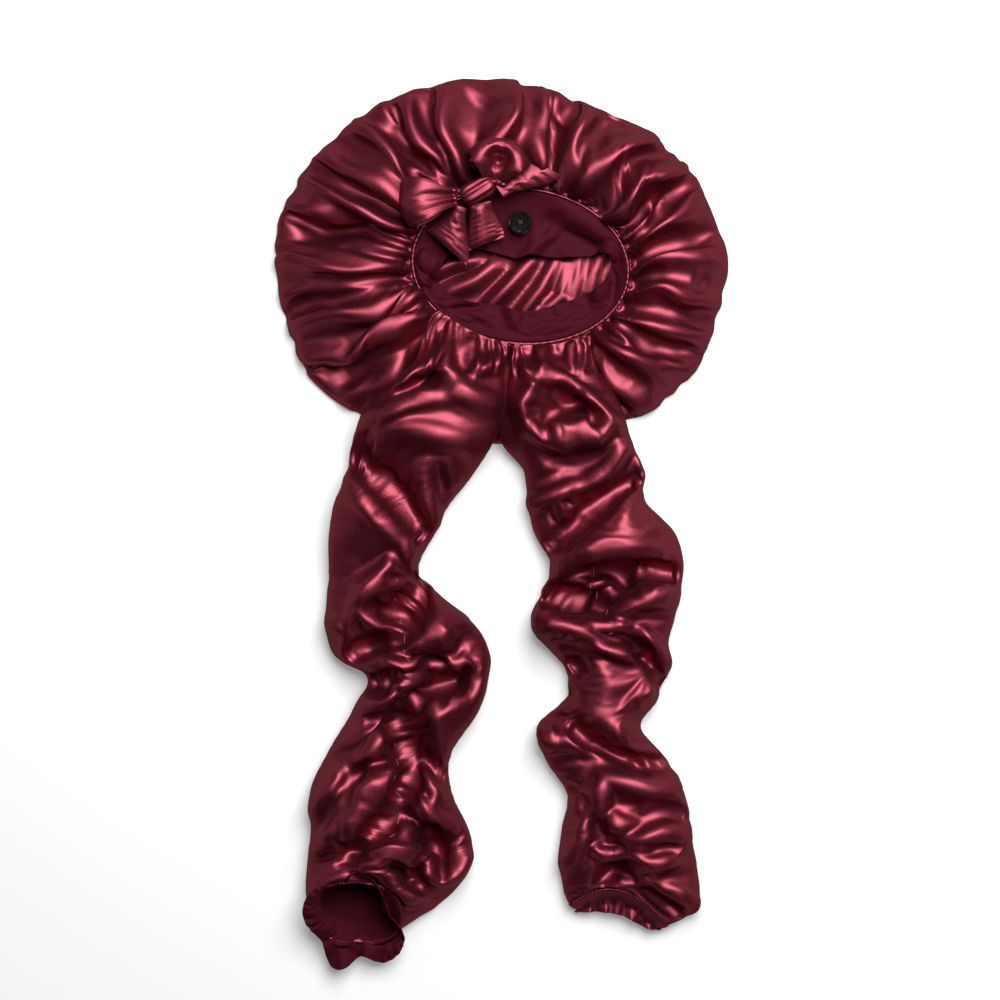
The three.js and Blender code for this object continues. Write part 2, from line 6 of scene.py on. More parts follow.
import bmesh
import bpy
import numpy as np
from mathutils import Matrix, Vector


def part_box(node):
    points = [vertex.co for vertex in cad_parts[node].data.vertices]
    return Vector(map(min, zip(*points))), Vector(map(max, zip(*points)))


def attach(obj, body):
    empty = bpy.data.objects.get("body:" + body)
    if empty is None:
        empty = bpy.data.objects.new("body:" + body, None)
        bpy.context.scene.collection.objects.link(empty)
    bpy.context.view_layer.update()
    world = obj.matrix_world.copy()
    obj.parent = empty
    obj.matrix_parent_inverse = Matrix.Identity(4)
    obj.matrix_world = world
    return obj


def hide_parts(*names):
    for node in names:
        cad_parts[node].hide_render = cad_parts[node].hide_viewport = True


bl_info = {
    "name": "Satin Sleep Bonnet",
    "version": (1, 0, 0),
    "blender": (4, 5, 0),
    "location": "View3D > Sidebar > Bonnet",
    "description": "Makes a gathered satin bonnet with a tie bow and two ruched sleeves",
    "category": "Mesh",
}

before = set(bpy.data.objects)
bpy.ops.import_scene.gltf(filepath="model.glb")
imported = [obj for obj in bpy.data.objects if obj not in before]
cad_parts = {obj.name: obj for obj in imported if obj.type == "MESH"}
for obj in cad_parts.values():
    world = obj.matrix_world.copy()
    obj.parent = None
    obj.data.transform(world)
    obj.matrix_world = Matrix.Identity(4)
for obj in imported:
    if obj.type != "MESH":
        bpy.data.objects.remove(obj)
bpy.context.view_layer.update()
MM = 0.001
CROWN_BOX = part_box("crown")
RIM_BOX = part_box("elastic_rim")
CROWN_X = (CROWN_BOX[0][0] + CROWN_BOX[1][0]) / 2 / MM
RIM_X = (RIM_BOX[0][0] + RIM_BOX[1][0]) / 2 / MM
RIM_Y = (RIM_BOX[0][1] + RIM_BOX[1][1]) / 2 / MM
CROWN_Y = RIM_Y + 7
RIM_HEIGHT = 19.0
RIM_RISE = 4.0
RIM_TURN = np.radians(-6)
RIM_HALF = (86, 61)
FOLD_RISE = 26.0
EDGE_SCALLOP = 6.0
SLEEVES_ANGLE = 269
SLEEVES_REACH = (33, 50)
PRESSED_CREST, PRESSED_CEILING = 12, 14.5
CROWN_CEILING = 50
BACK_HEIGHT = 0.8
BACK_RINGS = np.r_[np.linspace(0.97, 0.62, 5), np.linspace(0.58, 0.04, 26)]
FINE_CROWN_ROWS = 78
FINE_SLEEVE_ROWS = 272
CUFF_ROWS, CUFF_COLUMNS = 40, 400
LEFT_MOUTH_MIDDLE = (-112, -311)
RIGHT_CUFF_LOWEST = -316
KNOT_MIDDLE = (-19, 260.8, 38)
KNOT_HALF_LENGTH = 14
KNOT_TURN = np.radians(27)
SATIN_GRAIN = 1.3
SATIN_GLOSS = 0.51


# Tables


def rows(*lines):
    """Turns rows of numbers into a float array."""
    return np.array(lines, dtype=float)


# angle in degrees, how far out the outer fold lies
CROWN_EDGE = rows(
    (0, 182), (15, 172), (30, 164), (45, 154), (60, 142), (75, 141), (90, 145), (105, 149), (120, 154),
    (135, 162), (150, 172), (165, 180), (180, 182), (195, 181), (210, 180), (225, 172), (240, 160), (255, 152),
    (270, 149), (285, 151), (300, 158), (315, 171), (330, 180), (345, 180),
)

# the crown from its rim over the top, round the outer fold and under: share of the way out, height as a
# share of the crest, how much of each fold's depth is left
CROWN_PROFILE = rows(
    (0.0, 0.0, 0.0), (0.03, 0.45, 0.25), (0.08, 0.74, 0.55), (0.14, 0.88, 0.8), (0.2, 0.95, 0.95),
    (0.27, 0.99, 1.0), (0.34, 1.0, 1.0), (0.41, 0.99, 1.0), (0.48, 0.97, 1.0), (0.55, 0.93, 1.0),
    (0.62, 0.87, 1.0), (0.69, 0.8, 0.96), (0.76, 0.71, 0.9), (0.83, 0.6, 0.8), (0.89, 0.48, 0.7),
    (0.94, 0.36, 0.58), (0.98, 0.24, 0.46), (1.0, 0.13, 0.34), (0.99, 0.05, 0.2), (0.96, 0.025, 0.0),
    (0.92, 0.02, 0.0),
)

# crest line x1 y1 x2 y2 x3 y3, height, width
CROWN_FOLDS = rows(
    (-34, 274, -35, 312, -31, 350, 8, 8), (0, 292, 3, 320, 4, 348, 7, 7), (25, 292, 30, 315, 32, 335, 6, 5),
    (40, 271, 57, 299, 63, 317, 9, 6), (35, 279, 36, 302, 44, 319, 7, 4), (54, 264, 80, 292, 115, 311, 9, 8),
    (67, 254, 118, 266, 156, 274, 8, 6), (82, 243, 97, 254, 120, 251, 7, 5),
    (95, 226, 113, 233, 123, 246, 7, 5), (102, 210, 138, 230, 153, 261, 8, 6),
    (105, 195, 133, 200, 174, 195, 8, 6), (100, 174, 130, 185, 169, 174, 6, 6),
    (87, 162, 118, 154, 161, 154, 5, 8), (74, 151, 105, 134, 128, 111, 9, 7),
    (79, 118, 105, 106, 123, 102, 6, 6), (100, 146, 130, 126, 152, 116, 6, 7),
    (-43, 266, -63, 292, -73, 330, 9, 8), (-48, 269, -68, 279, -63, 289, 5, 4),
    (-79, 271, -99, 299, -112, 318, 9, 9), (-81, 264, -117, 281, -145, 294, 7, 7),
    (-79, 233, -124, 261, -155, 278, 9, 8), (-73, 220, -117, 241, -170, 259, 7, 7),
    (-73, 210, -117, 223, -173, 236, 8, 8), (-73, 197, -117, 208, -142, 218, 7, 6),
    (-76, 192, -124, 197, -160, 220, 6, 6), (-73, 186, -137, 191, -158, 205, 8, 7),
    (-66, 174, -112, 186, -153, 182, 6, 6), (-40, 159, -99, 172, -142, 159, 9, 9),
    (-38, 155, -99, 146, -165, 140, 7, 7), (-48, 149, -91, 134, -125, 125, 6, 7),
    (-68, 139, -99, 118, -103, 88, 8, 6), (-104, 121, -112, 110, -117, 100, 6, 7),
    (-36, 150, -56, 118, -74, 84, 6, 7), (-14, 143, -28, 108, -40, 70, 6, 7), (10, 140, 6, 104, 2, 66, 6, 7),
    (32, 141, 38, 104, 42, 66, 6, 7), (54, 146, 66, 112, 78, 74, 6, 7),
)

# crest lines of the back layer where the opening shows it
LINING_FOLDS = rows(
    (-62, 196, -40, 206, -20, 209, 9, 7), (-42, 184, -22, 192, -4, 206, 10, 8),
    (-8, 174, 6, 188, 24, 208, 12, 7), (18, 168, 32, 186, 44, 208, 12, 6), (30, 163, 48, 180, 53, 206, 10, 5),
    (56, 176, 61, 194, 62, 212, 8, 6), (71, 184, 74, 198, 80, 212, 7, 5.5), (88, 186, 90, 198, 96, 206, 5, 5),
)

# rim angle, then where the band's free edge lies: x, y, z
BAND_EDGE = rows(
    (-3, 88, 201, 14), (12, 86, 215, 15), (25, 74, 212, 15), (50, 45, 210, 14), (72, 24, 213, 15),
    (90, 12, 209, 14), (115, -9, 215, 15), (135, -24, 219, 15), (155, -40, 214, 14), (168, -47, 207, 14),
    (185, -54, 194, 13), (205, -42, 180, 13), (222, -26, 175, 13), (240, -8, 173, 13), (262, 15, 167, 13),
    (280, 26, 167, 13), (315, 57, 176, 13), (338, 79, 186, 13),
)

# crest lines of the inner band
BAND_FOLDS = rows(
    (-69, 212, -53, 207, -66, 184, 6, 4), (-66, 184, -58, 172, -23, 174, 4, 4),
    (-58, 172, -22, 160, 15, 149, 4, 4), (5, 172, 10, 160, 16, 150, 4, 4), (16, 150, 50, 156, 80, 172, 4, 5),
    (87, 218, 79, 197, 77, 177, 6, 4), (44, 248, 68, 236, 88, 222, 5, 5), (16, 209, 26, 216, 44, 234, 4, 5),
    (-46, 232, -40, 224, -24, 222, 3, 4), (-62, 200, -56, 192, -54, 182, -4, 4),
    (-40, 168, -10, 158, 0, 154, -3, 4), (84, 204, 88, 192, 86, 182, -4, 4), (36, 240, 60, 226, 76, 218, -4, 5),
)

# the tie's loops: x, y, z at the knot, reach, turn in degrees, half width at the knot and at the end, thickness, lift
BOW_LOOPS = rows(
    (-36, 256, 39, 46, 187, 7, 19, 17, 7), (-6, 266, 40, 38, 78, 9, 24, 18, 9),
)

# the tie's tails: x, y, z at the knot, reach, turn, half width at the knot and at the end, drop, slant of the end
BOW_TAILS = rows(
    (-33, 249, 33, 34, 252, 6, 19, 5, 0.25), (-17, 252, 32, 32, 279, 9, 15, 6, -0.1),
    (-3, 262, 37, 38, 33, 8, 19, 3, -0.3),
)

# a cuff from its sleeve's end outwards: how far on, how far out, depth of its gathers
LEFT_CUFF = rows(
    (1.2, 0, 0.6), (3, -1.5, 1.0), (5, -3.2, 0.9), (6.5, -3.6, 0.7), (8, -3.2, 0.9), (9.5, -2, 1.2),
    (11.5, 0.5, 1.8), (13, 4, 2.4), (13.6, 8, 3.0), (13, 12, 3.4),
)
RIGHT_CUFF = rows(
    (1.2, 0, 0.6), (4, -0.8, 1.0), (7, -2, 0.9), (9, -2.6, 0.7), (11, -2.6, 0.9), (14, -2.2, 1.2),
    (17, -1.6, 1.5), (20, -1.2, 1.7), (23, -1, 1.8),
)

# the left cuff's drawn-up mouth: angle, how far out
LEFT_MOUTH = rows(
    (19, 23), (45, 23), (70, 29), (101, 37), (122, 33), (145, 38), (170, 34), (215, 27), (258, 38), (302, 22),
    (324, 36), (346, 38),
)

# sleeve sections: x, y, z, half width, rise, pitch in degrees, bow, skew, extra length, seam across
LEFT_SLEEVE = rows(
    (-22, 136, 24, 27, 7, 0, 0, 0, 1.25, 0.2), (-35, 119, 26, 38, 9, 0, 0, 3, 1.2, 0.3),
    (-50, 93, 31, 52, 14, 0, 0, 5, 1.12, 0.5), (-62, 65, 31, 55, 14, 0, 0, 4, 1.1, 0.6),
    (-74, 35, 18, 50, 18, 0, 0, 0, 1.15, 0.7), (-88, 11, 18, 45, 18, 0, 0, 0, 1.2, 0.6),
    (-96, -13, 17, 41, 17, 0, 0, 0, 1.3, 0.5), (-102, -39, 16, 35, 16, 0, 0, 0, 1.45, 0.5),
    (-96, -59, 18, 44, 18, 0, 0, 0, 1.6, 0.35), (-80, -87, 20, 60, 20, 0, 0, 0, 1.7, 0.0),
    (-72, -109, 19, 62, 19, 0, 0, 0, 1.7, -0.05), (-60, -127, 18, 48, 18, 0, 0, 0, 1.7, -0.3),
    (-70, -155, 18, 50, 18, 0, 0, 0, 1.7, -0.2), (-90, -187, 18, 49, 18, 0, 0, 0, 1.7, 0.2),
    (-97, -217, 20, 56, 20, 0, 0, 0, 1.65, 0.3), (-90, -249, 20, 63, 20, 0, 0, 0, 1.5, 0.05),
    (-89, -263, 19, 65, 19, 6, 0, 0, 1.3, -0.1), (-91, -277, 19, 65, 20, 22, 0, 0, 1.15, -0.2),
    (-97, -294, 19, 60, 26, 42, 0, 0, 1.05, -0.2), (-107, -304, 22, 49, 29, 56, 0, 0, 1.0, -0.1),
    (-116, -313, 26, 38, 29, 66, 0, 0, 1.0, 0.0),
)
RIGHT_SLEEVE = rows(
    (38, 136, 24, 27, 7, 0, 0, 0, 1.25, -0.1), (42, 119, 26, 35, 9, 0, 0, 0, 1.2, 0.0),
    (50, 93, 31, 44, 14, 0, 0, 0, 1.15, 0.1), (58, 65, 31, 45, 14, 0, 0, 0, 1.15, 0.2),
    (66, 35, 18, 47, 18, 0, 0, 0, 1.15, 0.1), (68, 13, 18, 46, 18, 0, 0, 0, 1.2, 0.0),
    (82, -9, 18, 56, 18, 0, 0, 0, 1.25, -0.2), (92, -33, 18, 54, 18, 0, 0, 0, 1.4, -0.3),
    (90, -55, 19, 54, 19, 0, 0, 0, 1.6, -0.3), (82, -79, 19, 57, 19, 0, 0, 0, 1.5, 0.1),
    (84, -99, 18, 50, 18, 0, 0, 0, 1.35, 0.1), (93, -121, 17, 41, 17, 0, 0, 0, 1.2, 0.2),
    (88, -145, 16, 37, 16, 0, 0, 0, 1.25, 0.4), (71, -167, 17, 41, 17, 0, 0, 0, 1.35, 0.6),
    (84, -193, 17, 48, 17, 0, 0, 0, 1.3, 0.2), (100, -221, 17, 47, 17, 0, 0, 0, 1.25, -0.1),
    (100, -249, 17, 51, 17, 0, 2, 1, 1.25, -0.1), (102, -275, 16, 55, 16, 0, 8, 3, 1.2, -0.1),
    (104, -305, 14, 54, 13, 0, 16, 7, 1.05, 0.0), (94, -317, 12, 40, 10, 0, 22, 9, 1.0, 0.0),
)

# crest lines of the sleeves, and the sunk lines between them, which have a height below 0
SLEEVE_FOLDS = rows(
    (-45, 131, -39, 120, -49, 103, 8, 4), (-49, 103, -70, 99, -101, 82, 8, 4),
    (-45, 125, -65, 122, -82, 99, 7, 5), (-30, 132, -19, 119, -6, 126, 6, 5),
    (-45, 111, -24, 103, -8, 90, 6, 7), (-104, 78, -67, 68, -30, 59, 6, 8), (-101, 64, -92, 29, -73, -1, 6, 8),
    (-60, 45, -63, 19, -54, -3, 7, 6), (-55, 44, -45, 40, -38, 30, 5, 5), (-122, 34, -99, 15, -73, -14, 9, 5),
    (-128, 29, -132, -8, -137, -40, 5, 6), (-116, 39, -94, 22, -68, -16, -9, 4),
    (-106, 68, -111, 46, -104, 35, -6, 6), (-60, 115, -72, 103, -82, 99, -7, 4),
    (-33, 130, -31, 126, -30, 122, -6, 3), (-86, -34, -110, -55, -113, -69, 8, 6),
    (-113, -69, -104, -85, -85, -90, 7, 5), (-77, -10, -71, -24, -75, -38, 7, 5),
    (-75, -59, -94, -64, -79, -68, 6, 4), (-99, -76, -89, -72, -81, -79, 5, 3),
    (-110, -58, -119, -79, -115, -112, 6, 6), (-139, -83, -129, -86, -122, -93, 5, 9),
    (-122, -118, -94, -109, -78, -111, 8, 5), (-83, -99, -67, -114, -80, -135, 9, 6),
    (-80, -135, -90, -139, -106, -145, 8, 6), (-94, -115, -89, -125, -97, -132, 5, 4),
    (-80, -89, -70, -79, -69, -95, 6, 4), (-67, -104, -52, -76, -34, -80, 9, 7),
    (-34, -80, -43, -97, -48, -118, 7, 5), (-65, -129, -34, -117, -24, -127, 8, 5),
    (-57, -141, -41, -135, -25, -133, 6, 4), (-69, -155, -57, -145, -28, -141, 8, 5),
    (-18, -114, -19, -137, -47, -184, 5, 9), (-75, -150, -69, -164, -48, -189, 8, 5),
    (-82, -168, -97, -177, -108, -192, 8, 5), (-111, -147, -104, -161, -122, -182, 4, 9),
    (-66, -49, -73, -74, -83, -83, -9, 4), (-83, -93, -69, -121, -70, -143, -9, 4),
    (-78, -149, -79, -172, -81, -189, -9, 4), (-92, -95, -108, -106, -118, -117, -8, 5),
    (-64, -110, -52, -114, -48, -110, -8, 5), (-64, -134, -46, -127, -29, -127, -8, 5),
    (-100, -132, -90, -132, -85, -129, -8, 4), (-84, -198, -106, -208, -125, -225, 8, 6),
    (-124, -219, -123, -230, -101, -225, 6, 4), (-81, -201, -101, -225, -115, -250, 9, 6),
    (-129, -236, -137, -250, -147, -265, 7, 6), (-130, -201, -140, -221, -151, -233, 6, 6),
    (-71, -205, -54, -213, -48, -223, 8, 5), (-74, -219, -59, -224, -48, -223, 6, 4),
    (-79, -227, -59, -235, -41, -245, 8, 7), (-85, -236, -77, -250, -84, -265, 8, 5),
    (-97, -260, -86, -287, -49, -323, 9, 6), (-69, -250, -64, -280, -52, -292, 8, 6),
    (-52, -292, -35, -284, -27, -272, 7, 7), (-86, -236, -96, -250, -107, -261, 6, 4),
    (-80, -179, -76, -211, -80, -225, -9, 4), (-79, -232, -74, -256, -71, -287, -8, 6),
    (-90, -229, -103, -255, -120, -272, -7, 5), (-63, -245, -53, -262, -54, -270, -7, 5),
    (-110, -201, -120, -217, -118, -225, -7, 5), (18, 121, 26, 112, 42, 110, 7, 4),
    (42, 110, 71, 95, 92, 73, 9, 4), (44, 106, 59, 97, 61, 84, -9, 4), (32, 136, 31, 121, 29, 115, 6, 4),
    (26, 109, 16, 93, 21, 73, 7, 6), (21, 73, 42, 60, 76, 68, 9, 5), (76, 68, 88, 73, 78, 83, 6, 5),
    (23, 72, 42, 73, 62, 83, 5, 5), (39, 65, 59, 68, 76, 78, -6, 4), (22, 12, 44, 21, 66, 26, 7, 6),
    (66, 26, 87, 39, 98, 59, 8, 5), (44, 21, 51, 2, 61, 19, 5, 4), (109, 26, 81, 0, 48, -36, 8, 4),
    (105, 27, 76, 1, 44, -32, -8, 5), (110, 19, 121, -1, 126, -26, 6, 7), (83, 0, 103, -11, 117, -20, 3, 8),
    (110, 48, 113, 37, 109, 28, 5, 5), (48, -37, 86, -30, 127, -28, 10, 6), (52, -40, 96, -37, 137, -43, -9, 4),
    (82, -57, 96, -46, 110, -41, 7, 4), (88, -72, 105, -61, 118, -48, 8, 4),
    (118, -48, 131, -53, 140, -60, 6, 4), (87, -78, 113, -66, 137, -65, 8, 5),
    (87, -78, 113, -94, 133, -115, 8, 7), (35, -57, 60, -62, 80, -60, 9, 4), (80, -60, 81, -52, 75, -47, 7, 4),
    (29, -88, 33, -73, 86, -78, 9, 5), (30, -94, 49, -90, 72, -98, 8, 5), (72, -98, 92, -107, 107, -106, 8, 5),
    (69, -108, 81, -124, 72, -149, 4, 14), (119, -118, 120, -134, 105, -149, 6, 6),
    (80, -61, 81, -72, 86, -77, -8, 3), (39, -61, 56, -67, 78, -74, -8, 5),
    (103, -88, 113, -108, 127, -134, -10, 5), (56, -111, 64, -116, 62, -123, -8, 5),
    (54, -143, 64, -166, 80, -176, -8, 4), (55, -148, 69, -168, 102, -188, 7, 6),
    (60, -167, 79, -180, 116, -200, -9, 4), (97, -158, 100, -171, 97, -182, 6, 5),
    (31, -167, 47, -172, 59, -173, 6, 3), (33, -180, 47, -176, 63, -179, 6, 4),
    (77, -235, 75, -216, 81, -204, 9, 7), (81, -204, 109, -207, 136, -208, 9, 7),
    (137, -209, 140, -224, 148, -237, 5, 4), (60, -228, 81, -237, 97, -247, 7, 4),
    (97, -247, 104, -257, 97, -264, 6, 4), (105, -255, 126, -247, 149, -248, 8, 6),
    (97, -264, 121, -276, 137, -269, 8, 7), (137, -269, 145, -257, 149, -249, 6, 6),
    (76, -237, 89, -264, 118, -289, 8, 4), (118, -289, 142, -304, 159, -317, 7, 5),
    (67, -236, 63, -255, 52, -276, 8, 7), (75, -261, 83, -268, 91, -269, 5, 4),
    (79, -239, 85, -257, 93, -264, -8, 5), (81, -288, 94, -272, 105, -281, -9, 6),
    (118, -201, 126, -202, 133, -202, -7, 4), (118, -294, 137, -308, 150, -314, -7, 5),
)


# Shapes


def smooth_step(value, low, high):
    """Rises from 0 at low to 1 at high with level ends."""
    share = np.clip((value - low) / (high - low), 0, 1)
    return share * share * (3 - 2 * share)


def round_table(table, column, angle):
    """Reads a column of a table that goes once round, by a cubic through the four nearest rows."""
    count = len(table)
    at = (angle % 360) / (360 / count)
    i = np.floor(at).astype(int)
    f = at - i
    a, b, c, d = (table[(i + k) % count, column] for k in (-1, 0, 1, 2))
    return b + 0.5 * f * (c - a + f * (2 * a - 5 * b + 4 * c - d + f * (3 * (b - c) + d - a)))


def run_table(table, column, at):
    """Reads a column of a table along its rows, at counted in rows, by the same cubic."""
    last = len(table) - 1
    i = np.clip(np.floor(at).astype(int), 0, last - 1)
    f = at - i
    a, b, c, d = (table[np.clip(i + k, 0, last), column] for k in (-1, 0, 1, 2))
    return b + 0.5 * f * (c - a + f * (2 * a - 5 * b + 4 * c - d + f * (3 * (b - c) + d - a)))


def fold_height(folds, x, y):
    """The highest of a table's folds over each point, and the deepest of its sunk ones: a bell of the distance
    to a bent crest line, which fades towards the line's two ends."""
    total = np.zeros_like(x)
    sunk = np.zeros_like(x)
    for x1, y1, x2, y2, x3, y3, height, width in folds:
        for (ax, ay, bx, by), (start, end) in (((x1, y1, x2, y2), (0.0, 0.5)), ((x2, y2, x3, y3), (0.5, 1.0))):
            dx, dy = bx - ax, by - ay
            along = np.clip(((x - ax) * dx + (y - ay) * dy) / (dx * dx + dy * dy), 0, 1)
            off = np.hypot(x - ax - along * dx, y - ay - along * dy) / width
            share = start + along * (end - start)
            fade = 0.55 + 0.45 * np.sin(np.pi * np.clip(0.15 + 0.75 * share, 0, 1))
            bell = height * fade * np.exp(-off * off)
            total = np.maximum(total, bell)
            sunk = np.minimum(sunk, bell)
    return total + sunk


def crest_turns(folds, base, turn, share):
    """Where each crest line crosses each row of the crown, as an angle in degrees, in order round each row.
    A crest line's three points take the angle and share of their nearest grid points."""
    found = []
    for k in (0, 2, 4):
        gap = np.linalg.norm(base[None, ..., :2] - folds[:, None, None, k : k + 2], axis=-1)
        best = gap.reshape(len(folds), -1).argmin(axis=1)
        found.append((share[best // len(turn)], turn[best % len(turn)]))
    lines = []
    for first, second, third in zip(*(np.stack(f, axis=-1) for f in found)):
        outs = np.maximum.accumulate((first[0], second[0] + 0.001, third[0] + 0.002))
        turns = first[1] + (np.array((first[1], second[1], third[1])) - first[1] + 180) % 360 - 180
        lines.append(np.interp(share, outs, turns) % 360)
    lines = np.array(lines).T
    order = np.argsort(lines, axis=1)
    return np.take_along_axis(lines, order, axis=1), folds[:, 6][order]


def ridges(crests, heights, turn, seed):
    """A row of folds round the crown: height share, 1 along each crest and falling ever steeper to 0 in the
    sharp valley midway to the next, then the gap between the two crests in degrees, the nearest crest's
    height, and a seeded number from -1 to 1 for each crest."""
    gaps = (np.roll(crests, -1, axis=1) - crests) % 360
    index = ((crests[:, None, :] <= turn[None, :, None]).sum(axis=-1) - 1) % crests.shape[1]
    low = np.take_along_axis(crests, index, axis=1)
    gap = np.maximum(np.take_along_axis(gaps, index, axis=1), 1)
    at = np.clip(((turn[None, :] - low) % 360) / gap, 0, 1)
    near = 2 * np.minimum(at, 1 - at)
    dice = np.random.default_rng(seed).uniform(-1, 1, crests.shape[1])
    nearest = np.where(at < 0.5, index, index + 1) % crests.shape[1]
    return 1 - near**2.2, gap, np.take_along_axis(heights, nearest, axis=1), dice[nearest]


def soft_noise(x, y, size, seed):
    """A sum of plane waves of about one wavelength in seeded directions, between about -1 and 1."""
    dice = np.random.default_rng(seed)
    total = np.zeros_like(x)
    waves = zip(dice.uniform(0, 2 * np.pi, 9), dice.uniform(0, 2 * np.pi, 9), dice.uniform(0.7, 1.5, 9))
    for turn, phase, scale in waves:
        total += np.sin((x * np.cos(turn) + y * np.sin(turn)) * 2 * np.pi / (size * scale) + phase)
    return total / 4


def swing(x, y, turn, to_x=0.0, to_y=0.0):
    """Turns points about the origin, then moves them."""
    return to_x + x * np.cos(turn) - y * np.sin(turn), to_y + x * np.sin(turn) + y * np.cos(turn)


def rim_point(angle, out=0.0):
    """A turned ellipse that stands a little higher at its far side, spread outwards by out."""
    x = (RIM_HALF[0] + out) * np.cos(angle)
    y = (RIM_HALF[1] + out) * np.sin(angle)
    height = RIM_HEIGHT + RIM_RISE * np.sin(angle) + 0 * x
    return np.stack((*swing(x, y, RIM_TURN, RIM_X, RIM_Y), height), axis=-1)


def gathers(angle, dice, counts, bend, bends):
    """A sum of waves round a ring, counts of them to a turn, which crowd and spread bends times to a turn."""
    return sum(np.sin(n * angle + dice.uniform(0, 6.3) + bend * np.sin(bends * angle + n)) for n in counts)


# Cloth settling


def pull(place, free, axis, span, rest, stiff, push_only=False):
    """Moves each two points that are span apart on the grid towards their rest distance, both ends equally.
    Columns close on themselves."""
    if axis == 1:
        gap = np.roll(place, -span, axis=1) - place
    else:
        gap = place[span:] - place[:-span]
    size = np.sqrt((gap * gap).sum(axis=-1)) + 1e-6
    share = 0.5 * stiff * (1 - rest / size)
    if push_only:
        share = np.minimum(share, 0)
    move = share[..., None] * gap
    if axis == 1:
        place += free * (move - np.roll(move, span, axis=1))
    else:
        place[:-span] += free[:-span] * move
        place[span:] -= free[span:] * move


def pull_across(place, free, lean, rest, stiff):
    """The same along the grid's diagonals."""
    gap = np.roll(place[1:], -lean, axis=1) - place[:-1]
    size = np.sqrt((gap * gap).sum(axis=-1)) + 1e-6
    move = (0.5 * stiff * (1 - rest / size))[..., None] * gap
    place[:-1] += free[:-1] * move
    place[1:] -= free[1:] * np.roll(move, lean, axis=1)


def lengths(place):
    """Distances to the next column and to the next row."""
    around = np.linalg.norm(np.roll(place, -1, axis=1) - place, axis=-1)
    down = np.linalg.norm(place[1:] - place[:-1], axis=-1)
    return around, down


def resample(place, row_count, column_count, soft_rows, soft_columns):
    """Reads a grid at other counts of rows and columns. Each new point is a cubic blend of the four nearest
    rows and then columns: through them at softness 0, and smoothing them at softness 1."""

    def weights(f, soft):
        through = (-f + 2 * f**2 - f**3, 2 - 5 * f**2 + 3 * f**3, f + 4 * f**2 - 3 * f**3, -(f**2) + f**3)
        near = ((1 - f) ** 3, 4 - 6 * f**2 + 3 * f**3, 1 + 3 * f + 3 * f**2 - 3 * f**3, f**3)
        return [(1 - soft) * t / 2 + soft * n / 6 for t, n in zip(through, near)]

    last = place.shape[0] - 1
    at = np.linspace(0, last, row_count)
    i = np.minimum(np.floor(at).astype(int), last - 1)
    tall = sum(w[:, None, None] * place[np.clip(i + k - 1, 0, last)] for k, w in enumerate(weights(at - i, soft_rows)))
    tall[0], tall[-1] = place[0], place[-1]
    count = place.shape[1]
    at = np.arange(column_count) * count / column_count
    i = np.floor(at).astype(int)
    return sum(w[None, :, None] * tall[:, (i + k - 1) % count] for k, w in enumerate(weights(at - i, soft_columns)))


def face_normals(place):
    """Unit normals of a grid whose columns close on themselves."""
    around = np.roll(place, -1, axis=1) - np.roll(place, 1, axis=1)
    down = np.gradient(place, axis=0)
    normal = np.cross(around, down)
    return normal / (np.linalg.norm(normal, axis=-1, keepdims=True) + 1e-9)


def steps_between(base, extra_round, extra_down):
    """The steps from each point to the next column and to the next row, lengthened by the extra cloth."""
    across = (np.roll(base, -1, axis=1) - base) * np.broadcast_to(extra_round, base.shape[:2])[..., None]
    along = (base[1:] - base[:-1]) * np.broadcast_to(extra_down, base[1:].shape[:2])[..., None]
    return across, along


def settle(base, seeded, extra_round, extra_down, free, floor, ceiling, steps, weight, swell, keep, bend):
    """Lets cloth with more length than its space buckle and settle.

    base gives the lengths before the extra cloth, seeded the place it starts from. Each step carries the
    last step's motion on, adds weight and a swelling push along the normals, and then draws neighbours,
    diagonals and second neighbours towards their lengths, within floor and ceiling. keep draws points back
    over their places in base, and bend is how stiffly the cloth resists folds round and down its grid.
    """
    around, down = lengths(base)
    around = around * extra_round
    down = down * extra_down
    across, along = steps_between(base, extra_round, extra_down)
    ahead = np.linalg.norm((across[1:] + across[:-1] + along + np.roll(along, -1, axis=1)) / 2, axis=-1)
    before = np.roll(across, 1, axis=1)
    behind = np.linalg.norm((along + np.roll(along, 1, axis=1) - before[1:] - before[:-1]) / 2, axis=-1)
    around2 = around + np.roll(around, -1, axis=1)
    down2 = down[1:] + down[:-1]
    around4 = around2 + np.roll(around2, -2, axis=1)
    down4 = down2[2:] + down2[:-2]
    place = seeded.astype(np.float32).copy()
    was = place.copy()
    free = free.astype(np.float32)[..., None]
    home = base[..., :2].astype(np.float32)
    around, down, ahead, behind, around2, down2, around4, down4 = (
        a.astype(np.float32) for a in (around, down, ahead, behind, around2, down2, around4, down4)
    )
    for _ in range(steps):
        speed = (place - was) * 0.92
        was = place.copy()
        place += free * speed
        place[..., 2:] -= free * weight
        if swell:
            place += free * face_normals(place) * swell
        for _ in range(3):
            pull(place, free, 1, 1, around, 0.7)
            pull(place, free, 0, 1, down, 0.7)
            pull_across(place, free, 1, ahead, 0.25)
            pull_across(place, free, -1, behind, 0.25)
        pull(place, free, 1, 2, around2 * 0.97, bend[0], push_only=True)
        pull(place, free, 0, 2, down2 * 0.98, bend[1], push_only=True)
        pull(place, free, 1, 4, around4 * 0.9, bend[0] * 0.4, push_only=True)
        pull(place, free, 0, 4, down4 * 0.95, bend[1] * 0.6, push_only=True)
        place[..., :2] += free * keep * (home - place[..., :2])
        np.clip(place[..., 2], floor, ceiling, out=place[..., 2])
    return place.astype(float)


